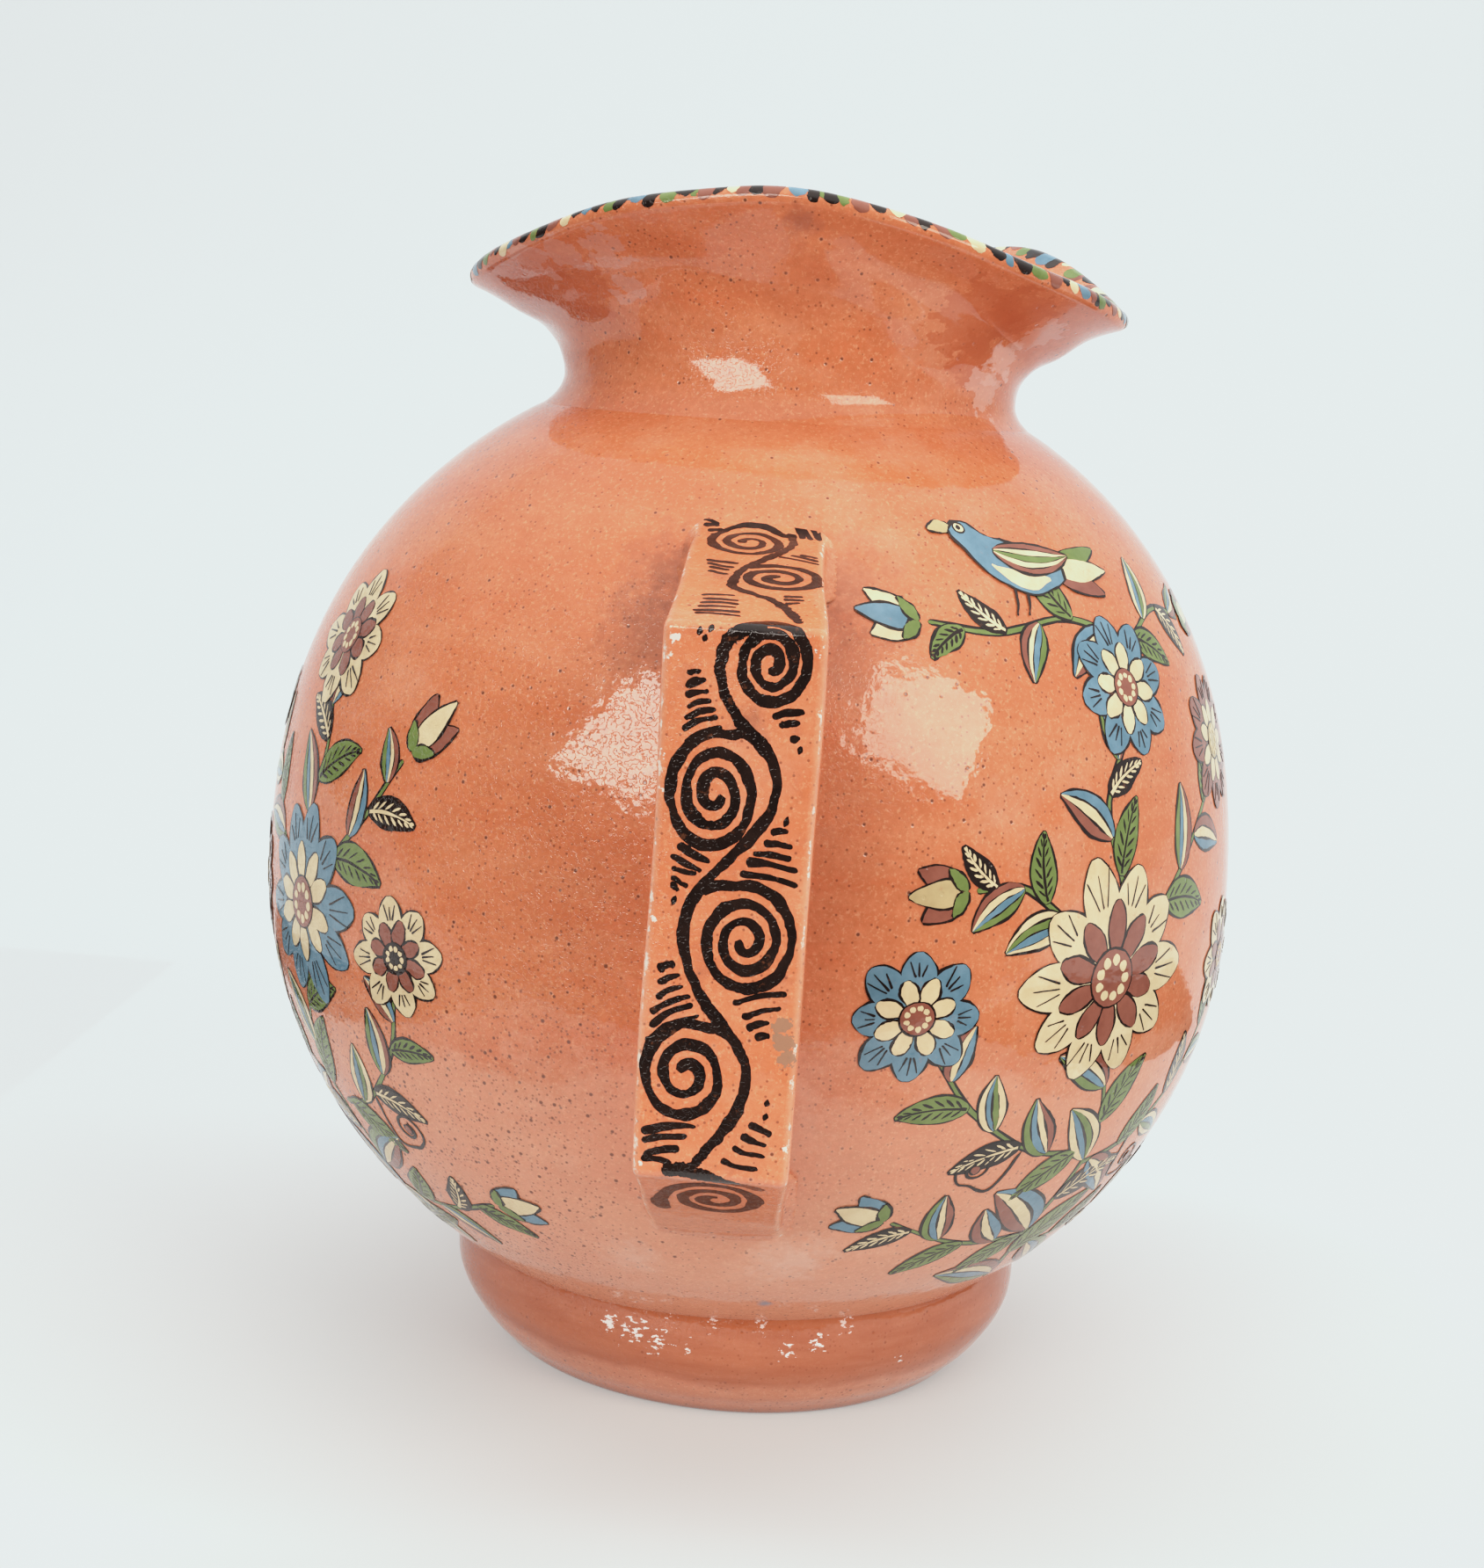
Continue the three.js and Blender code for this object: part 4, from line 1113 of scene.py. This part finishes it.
    def bird(self, at, facing, size):
        """A perched bird: rounded body, striped wing, three tail feathers, beak, eye and legs. Its own sizes
        run forward and up from the middle of the body."""
        def there(x, y):
            return np.array(at, float) + size * np.array([facing * x, y])
        for k, (x, y, slip) in enumerate(((-21, 3, green), (-22, -1.5, cream), (-19, -6, brown))):
            self.filled(there(-7, -1), there(x, y), 0, 4.4 * size, slip, 10 + k % 2)
        body = smooth_line([there(-10, -2), there(-5, -1.2), there(0, -0.6), there(5, 2.0), there(8.4, 6.0),
                            there(10.2, 8.0)], 31) * millimetre
        half = np.interp(np.linspace(0, 1, 31), [0, 0.1, 0.35, 0.6, 0.8, 0.92, 1],
                         [0.6, 2.6, 4.9, 4.3, 2.7, 2.4, 0.5]) * size * millimetre
        self.lay(body, half + dark_line, black, 13)
        self.lay(body[1:-1], half[1:-1], blue, 14)
        breast = (half * 0.36)[5:20] * np.sin(np.linspace(0.25, np.pi - 0.1, 15))
        self.lay(offset(body, half, -0.52 * facing)[5:20], breast, cream, 15)
        self.striped(there(4.2, 2.6), there(-12.5, 1.6), 2.4 * facing * size, 6.2 * size,
                     [brown, cream, green, cream, brown], 16)
        self.filled(there(10.2, 7.6), there(14.6, 6.6), 0, 2.2 * size, tan, 12)
        self.dot(there(8.6, 7.0), 0.85 * size, cream, 16)
        self.dot(there(8.7, 7.0), 0.42 * size, black, 18, dark=False)
        for x in (0.5, 3.0):
            self.line([there(x, -4.8), there(x + 0.4, -7.2), there(x + 1.4, -9.6)], 0.34, black, 12)

    def tendril(self, knots, middle, size, handed):
        """A thin curling shoot that ends in a spiral with a berry at its middle."""
        start = np.degrees(np.arctan2(knots[-1][1] - middle[1], knots[-1][0] - middle[0])) + 30 * handed
        path = coil(knots, middle, (size, size), 1.6, start, handed, 0.16)[::2]
        self.lay(path, round_ends(path, 0.00040, 0.8), black, 4, across=3)
        self.dot(middle, 0.22 * size, brown, 5)


four_stripes = [brown, cream, blue, green]
three_stripes = [blue, cream, brown]
pale_stripes = [cream, green, blue, cream]
right_spray = Spray(45, -3)
right_spray.leafy([(8, -86), (3, -62), (8, -36), (2, -12)],
                  7, 25, [four_stripes, green, three_stripes, black, pale_stripes, green], 1)
right_spray.leafy([(2, 22), (-2, 38), (6, 52)], 4, 17, [green, three_stripes, black, four_stripes], -1)
right_spray.leafy([(-12, 16), (-24, 24), (-35, 24)], 4, 16, [pale_stripes, green, four_stripes, black], 1)
right_spray.leafy([(14, 16), (28, 28), (42, 40)], 4, 18, [green, four_stripes, three_stripes, green], -1)
right_spray.leafy([(6, -38), (-12, -34), (-30, -22), (-41, -8)],
                  6, 18, [green, four_stripes, black, pale_stripes, green, three_stripes], 1)
right_spray.leafy([(7, -42), (24, -38), (40, -26), (51, -8)],
                  6, 18, [three_stripes, green, pale_stripes, black, four_stripes, green], -1)
right_spray.leafy([(5, -64), (-16, -62), (-37, -52)],
                  5, 18, [green, three_stripes, green, four_stripes, black], 1)
right_spray.leafy([(6, -70), (26, -68), (47, -58)],
                  5, 19, [four_stripes, green, black, pale_stripes, green], -1)
right_spray.blossom((0, 5), 24, 10, 0, [cream, brown, brown])
right_spray.blossom((9, 61), 15, 8, 10, [blue, cream, brown])
right_spray.blossom((-46, 0), 14, 8, 0, [blue, cream, brown])
right_spray.blossom((49, 47), 15, 9, 22, [brown, cream, tan])
right_spray.blossom((54, 1), 14, 8, 0, [cream, brown, brown])
right_spray.bud((-37, 24), 185, 11, [brown, tan])
right_spray.bud((-39, -51), 160, 11, [blue, cream])
right_spray.bud((49, -57), 20, 11, [brown, cream])
right_spray.leafy([(10, 72), (-4, 76), (-22, 73), (-37, 75)],
                  5, 16, [three_stripes, green, four_stripes, black, green], 1)
right_spray.leafy([(14, 70), (30, 77), (46, 74)], 4, 16, [green, pale_stripes, black, four_stripes], -1)
right_spray.bud((-39, 75), 170, 11, [cream, blue])
right_spray.bud((48, 74), 5, 11, [brown, cream])
right_spray.bird((-11, 88), -1, 1.20)
right_spray.tendril([(-14, -34), (-18, -44), (-24, -42)], (-24, -37.5), 4.6, -1)
right_spray.tendril([(24, -38), (24, -50), (30, -52)], (31, -47), 4.6, 1)

left_spray = Spray(-55, -3)
left_spray.leafy([(-2, -86), (4, -60), (-4, -34), (2, -12)],
                 7, 24, [green, three_stripes, four_stripes, black, green, pale_stripes], -1)
left_spray.leafy([(0, 20), (4, 36), (-2, 50)], 4, 17, [four_stripes, green, black, three_stripes], 1)
left_spray.leafy([(3, -44), (18, -38), (32, -22), (36, -8)],
                 6, 17, [green, pale_stripes, black, four_stripes, green, three_stripes], -1)
left_spray.leafy([(-3, -40), (-18, -36), (-32, -20), (-37, -6)],
                 6, 17, [three_stripes, green, four_stripes, black, pale_stripes, green], 1)
left_spray.leafy([(12, 14), (24, 26), (32, 38)], 4, 16, [green, three_stripes, black, four_stripes], -1)
left_spray.leafy([(-12, 14), (-24, 26), (-34, 34)], 4, 16, [four_stripes, green, pale_stripes, black], 1)
left_spray.leafy([(0, -70), (22, -68), (42, -60)],
                 5, 18, [pale_stripes, green, four_stripes, black, green], -1)
left_spray.leafy([(-1, -66), (-22, -64), (-42, -58)],
                 5, 18, [green, three_stripes, black, green, four_stripes], 1)
left_spray.blossom((1, 4), 22, 10, 8, [blue, cream, brown])
left_spray.blossom((-3, 59), 15, 8, 0, [cream, brown, brown])
left_spray.blossom((37, 0), 13, 8, 12, [cream, brown, black])
left_spray.blossom((-39, 2), 13, 8, 0, [brown, tan, black])
left_spray.bud((34, 40), 55, 12, [brown, cream])
left_spray.bud((-36, 36), 135, 12, [cream, blue])
left_spray.bud((44, -59), 15, 11, [blue, cream])
left_spray.bud((-44, -57), 165, 11, [brown, tan])
left_spray.tendril([(20, -37), (22, -48), (28, -48)], (28, -43), 4.4, 1)
left_spray.tendril([(-20, -35), (-24, -46), (-30, -45)], (-30, -40), 4.4, -1)

back_spray = Spray(180, -4)
back_spray.leafy([(0, -86), (0, -60), (0, -36), (0, -12)],
                 8, 24, [green, four_stripes, three_stripes, green, black, pale_stripes], 1)
back_spray.leafy([(0, 20), (3, 34), (0, 46)], 4, 16, [four_stripes, green, black, three_stripes], 1)
for side in (-1, 1):
    back_spray.leafy([(0, -42), (side * 18, -36), (side * 34, -20), (side * 40, -6)], 6, 17,
                     [green, pale_stripes, black, four_stripes, green, three_stripes], -side)
    back_spray.leafy([(side * 12, 14), (side * 26, 26), (side * 38, 34)],
                     4, 16, [three_stripes, green, black, four_stripes], -side)
    back_spray.leafy([(0, -68), (side * 24, -66), (side * 46, -58)],
                     5, 18, [four_stripes, green, pale_stripes, black, green], -side)
    back_spray.blossom((side * 42, 3), 14, 8, 0, [blue, cream, brown])
    back_spray.bud((side * 40, 35), 90 - side * 45, 12, [brown, tan])
    back_spray.bud((side * 48, -57), 90 - side * 75, 11, [cream, blue])
back_spray.blossom((0, 4), 23, 10, 0, [cream, brown, brown])
back_spray.blossom((0, 55), 14, 8, 10, [brown, cream, tan])

for name, painting in (("right_spray", right_spray), ("left_spray", left_spray), ("back_spray", back_spray)):
    pottery_piece(name, painting.shapes, slips_of_paint, crease=0.6)

# Floor and backdrop
# A pale translucent sheet that starts a hand's width in front of the pot, runs level under it and sweeps up
# behind it; a little light comes through it from below, so that shadows stay soft.
sheet_rows, sheet_columns = 90, 24
sweep = smooth_line([(-0.27, 0.0), (0.0, 0.0), (0.3, 0.0), (0.8, 0.0), (1.25, 0.10), (1.5, 0.45), (1.55, 1.2),
                     (1.55, 2.6)], sheet_rows)
sheet_x = np.linspace(-2.6, 2.6, sheet_columns)
sheet_points = np.stack(np.broadcast_arrays(sheet_x[None], sweep[:, :1], sweep[:, 1:]), axis=-1)
sheet_index = np.arange(sheet_rows * sheet_columns).reshape(sheet_rows, sheet_columns)
sheet_faces = np.stack([sheet_index[:-1, :-1], sheet_index[:-1, 1:], sheet_index[1:, 1:],
                        sheet_index[1:, :-1]], axis=-1).reshape(-1, 4)
paper_mesh = bpy.data.meshes.new("paper_sweep")
paper_mesh.from_pydata(sheet_points.reshape(-1, 3).tolist(), [], sheet_faces.tolist())
paper_mesh.polygons.foreach_set("use_smooth", np.ones(len(sheet_faces), bool))
paper = bpy.data.materials.new("studio_paper")
paper.use_nodes = True
paper_tree = paper.node_tree
paper_surface = paper_tree.nodes["Principled BSDF"]
paper_place = shader_node(paper_tree, "ShaderNodeTexCoord").outputs["Object"]
paper_tone = mixed(paper_tree, noise(paper_tree, paper_place, 3.0), (0.415, 0.415, 0.412, 1),
                   (0.435, 0.434, 0.431, 1))
paper_tree.links.new(paper_tone, paper_surface.inputs["Base Color"])
paper_surface.inputs["Emission Color"].default_value = (0.95, 1.0, 1.0, 1)
paper_surface.inputs["Emission Strength"].default_value = 0.27
paper_surface.inputs["Roughness"].default_value = 0.6
paper_surface.inputs["Specular IOR Level"].default_value = 0.2
paper_mesh.materials.append(paper)
paper_sweep = bpy.data.objects.new("paper_sweep", paper_mesh)
bpy.context.scene.collection.objects.link(paper_sweep)

# Studio light
# Two square soft boxes in front, the left one tipped down, a fill beside the right one, dark cards that take
# the glare off the flare of the mouth, and a lamp on the backdrop. The walls are pale and plain, and the pale
# ceiling is brightest where the glaze mirrors it.


def placed(axes, place):
    """Place of a light or a camera from its three axes, as columns, and its point."""
    return Matrix([[*row, p] for row, p in zip(axes.tolist(), place.tolist())] + [[0, 0, 0, 1]])


def soft_box(name, turn, rise, away_by, wide, tall, roll, power, colour, tip=0.0):
    """A soft box at a turn from straight ahead and a rise, facing the middle of the pot, rolled about that
    line and then tipped about its diagonal: each axis keeps its part along the line from corner to corner,
    and the rest of it is turned about that line."""
    light = bpy.data.lights.new(name, "AREA")
    light.shape = "RECTANGLE"
    light.size = wide
    light.size_y = tall
    light.energy = power
    light.color = colour
    made = bpy.data.objects.new(name, light)
    bpy.context.scene.collection.objects.link(made)
    turn, rise, roll, tip = np.radians([turn, rise, roll, tip])
    away = np.array([np.cos(rise) * np.sin(turn), -np.cos(rise) * np.cos(turn), np.sin(rise)])
    level = np.array([np.cos(turn), np.sin(turn), 0.0])
    side = np.cos(roll) * level + np.sin(roll) * np.cross(away, level)
    place = np.array([0.0, axis_y, belly_height]) + away_by * away
    axes = np.stack([side, np.cross(away, side), away])
    hinge = (axes[0] + axes[1]) / np.sqrt(2)
    axes = (np.cos(tip) * axes + np.sin(tip) * np.cross(hinge, axes)
            + (1 - np.cos(tip)) * np.outer(axes @ hinge, hinge))
    made.matrix_world = placed(axes.T, place)
    return made


dark_card = bpy.data.materials.new("dark_card")
dark_card.use_nodes = True
card_surface = dark_card.node_tree.nodes["Principled BSDF"]
card_surface.inputs["Base Color"].default_value = (0.02, 0.02, 0.02, 1)
card_surface.inputs["Roughness"].default_value = 0.9
card_front, card_height = -0.25, 0.001
for card, near_side, far_side, card_back in (("card_left", -0.225, -0.34, 0.30),
                                             ("card_right", 0.24, 0.50, 0.20)):
    card_mesh = bpy.data.meshes.new(card)
    card_mesh.from_pydata([(near_side, card_front, card_height), (far_side, card_front, card_height),
                           (far_side, card_back, card_height), (near_side, card_back, card_height)],
                          [], [(0, 1, 2, 3)])
    card_mesh.materials.append(dark_card)
    card_piece = bpy.data.objects.new(card, card_mesh)
    bpy.context.scene.collection.objects.link(card_piece)
    card_piece.visible_camera = False
    card_piece.visible_diffuse = False
    card_piece.visible_shadow = False

soft_box("soft_box_left", -22.6, 21.7, 1.2, 0.66, 0.66, -34.2, 13.6, (1.0, 0.95, 0.87), tip=-55)
soft_box("soft_box_right", 43, 29.3, 1.2, 0.56, 0.48, -29, 5.4, (1.0, 0.94, 0.80))
fill = soft_box("fill_right", 46, 30, 1.4, 0.8, 0.7, 0, 5.4, (1.0, 0.96, 0.92))
fill.visible_glossy = False

backdrop_light = bpy.data.lights.new("backdrop_light", "AREA")
backdrop_light.shape = "RECTANGLE"
backdrop_light.size, backdrop_light.size_y = 3.6, 0.6
backdrop_light.energy = 80.0
backdrop_light.color = (0.88, 0.97, 1.0)
backdrop_lamp = bpy.data.objects.new("backdrop_light", backdrop_light)
bpy.context.scene.collection.objects.link(backdrop_lamp)
backdrop_lamp.visible_glossy = False
lamp_away = np.array([0.0, -0.80, 0.60])
lamp_side = np.array([1.0, 0.0, 0.0])
lamp_axes = np.stack([lamp_side, np.cross(lamp_away, lamp_side), lamp_away], axis=1)
backdrop_lamp.matrix_world = placed(lamp_axes, np.array([0.0, 0.10, 1.9]))

studio = bpy.data.worlds.new("studio")
studio.use_nodes = True
room = studio.node_tree
way = shader_node(room, "ShaderNodeTexCoord").outputs["Generated"]
ray = shader_node(room, "ShaderNodeLightPath")
brightest_way = (0.42, 0.48, 0.77)
overhead = shader_node(room, "ShaderNodeVectorMath", {0: way, 1: brightest_way},
                       operation="DOT_PRODUCT").outputs["Value"]
ceiling = mixed(room, between(room, overhead, -0.20, 0.90), (0.07, 0.068, 0.065, 1), (0.57, 0.60, 0.62, 1))
mirrored = maths(room, "MULTIPLY", ray.outputs["Is Glossy Ray"],
                 between(room, part_of(room, way, "Z"), 0.48, 0.80))
ceiling = mixed(room, mirrored, ceiling, (1.02, 1.02, 0.98, 1))
ceiling = mixed(room, ray.outputs["Is Camera Ray"], ceiling, (0.90, 0.98, 0.99, 1))
room.links.new(ceiling, room.nodes["Background"].inputs["Color"])
bpy.context.scene.world = studio
print_tone = bpy.context.scene.view_settings
print_tone.view_transform = "Standard"
print_tone.use_curve_mapping = True
print_tone.curve_mapping.extend = "HORIZONTAL"
all_colours, red_alone = 3, 0
for channel, whitest, bends in ((all_colours, 0.84, ((0.5, 0.5), (0.75, 0.70))),
                                (red_alone, 0.91, ((0.70, 0.70), (0.86, 0.84)))):
    curve = print_tone.curve_mapping.curves[channel]
    curve.points[1].location = (1.0, whitest)
    for given, shown in bends:
        curve.points.new(given, shown)
print_tone.curve_mapping.update()

# Camera
# Close in front of the handle, a little above the shoulder and looking down, with a slight roll.
film_height, focus_in_rows, picture_rows = 36.0, 2678, 1784
lens = bpy.data.cameras.new("camera")
lens.sensor_fit = "VERTICAL"
lens.sensor_height = film_height
lens.lens = film_height * focus_in_rows / picture_rows
lens.clip_start = 0.01
camera = bpy.data.objects.new("camera", lens)
bpy.context.scene.collection.objects.link(camera)
stand, eye_height = 0.540, 0.22227
pitch, roll, yaw, round_pot = 0.169, 0.066, -0.0096, np.radians(2.8)
right = np.array([np.cos(yaw), -np.sin(yaw), 0.0])
level = np.array([np.sin(yaw), np.cos(yaw), 0.0])
upward = np.array([0.0, 0.0, 1.0])
forward = np.cos(pitch) * level - np.sin(pitch) * upward
tilted = np.sin(pitch) * level + np.cos(pitch) * upward
picture_right = np.cos(roll) * right + np.sin(roll) * tilted
picture_up = np.cos(roll) * tilted - np.sin(roll) * right
swing = np.array([[np.cos(round_pot), -np.sin(round_pot), 0.0], [np.sin(round_pot), np.cos(round_pot), 0.0],
                  [0.0, 0.0, 1.0]])
axes = swing @ np.stack([picture_right, picture_up, -forward], axis=1)
spot = swing @ np.array([0.0, -stand, eye_height]) + np.array([0.0, axis_y, 0.0])
camera.matrix_world = placed(axes, spot)
bpy.context.scene.camera = camera

# Bring the scene up to date
bpy.context.view_layer.update()
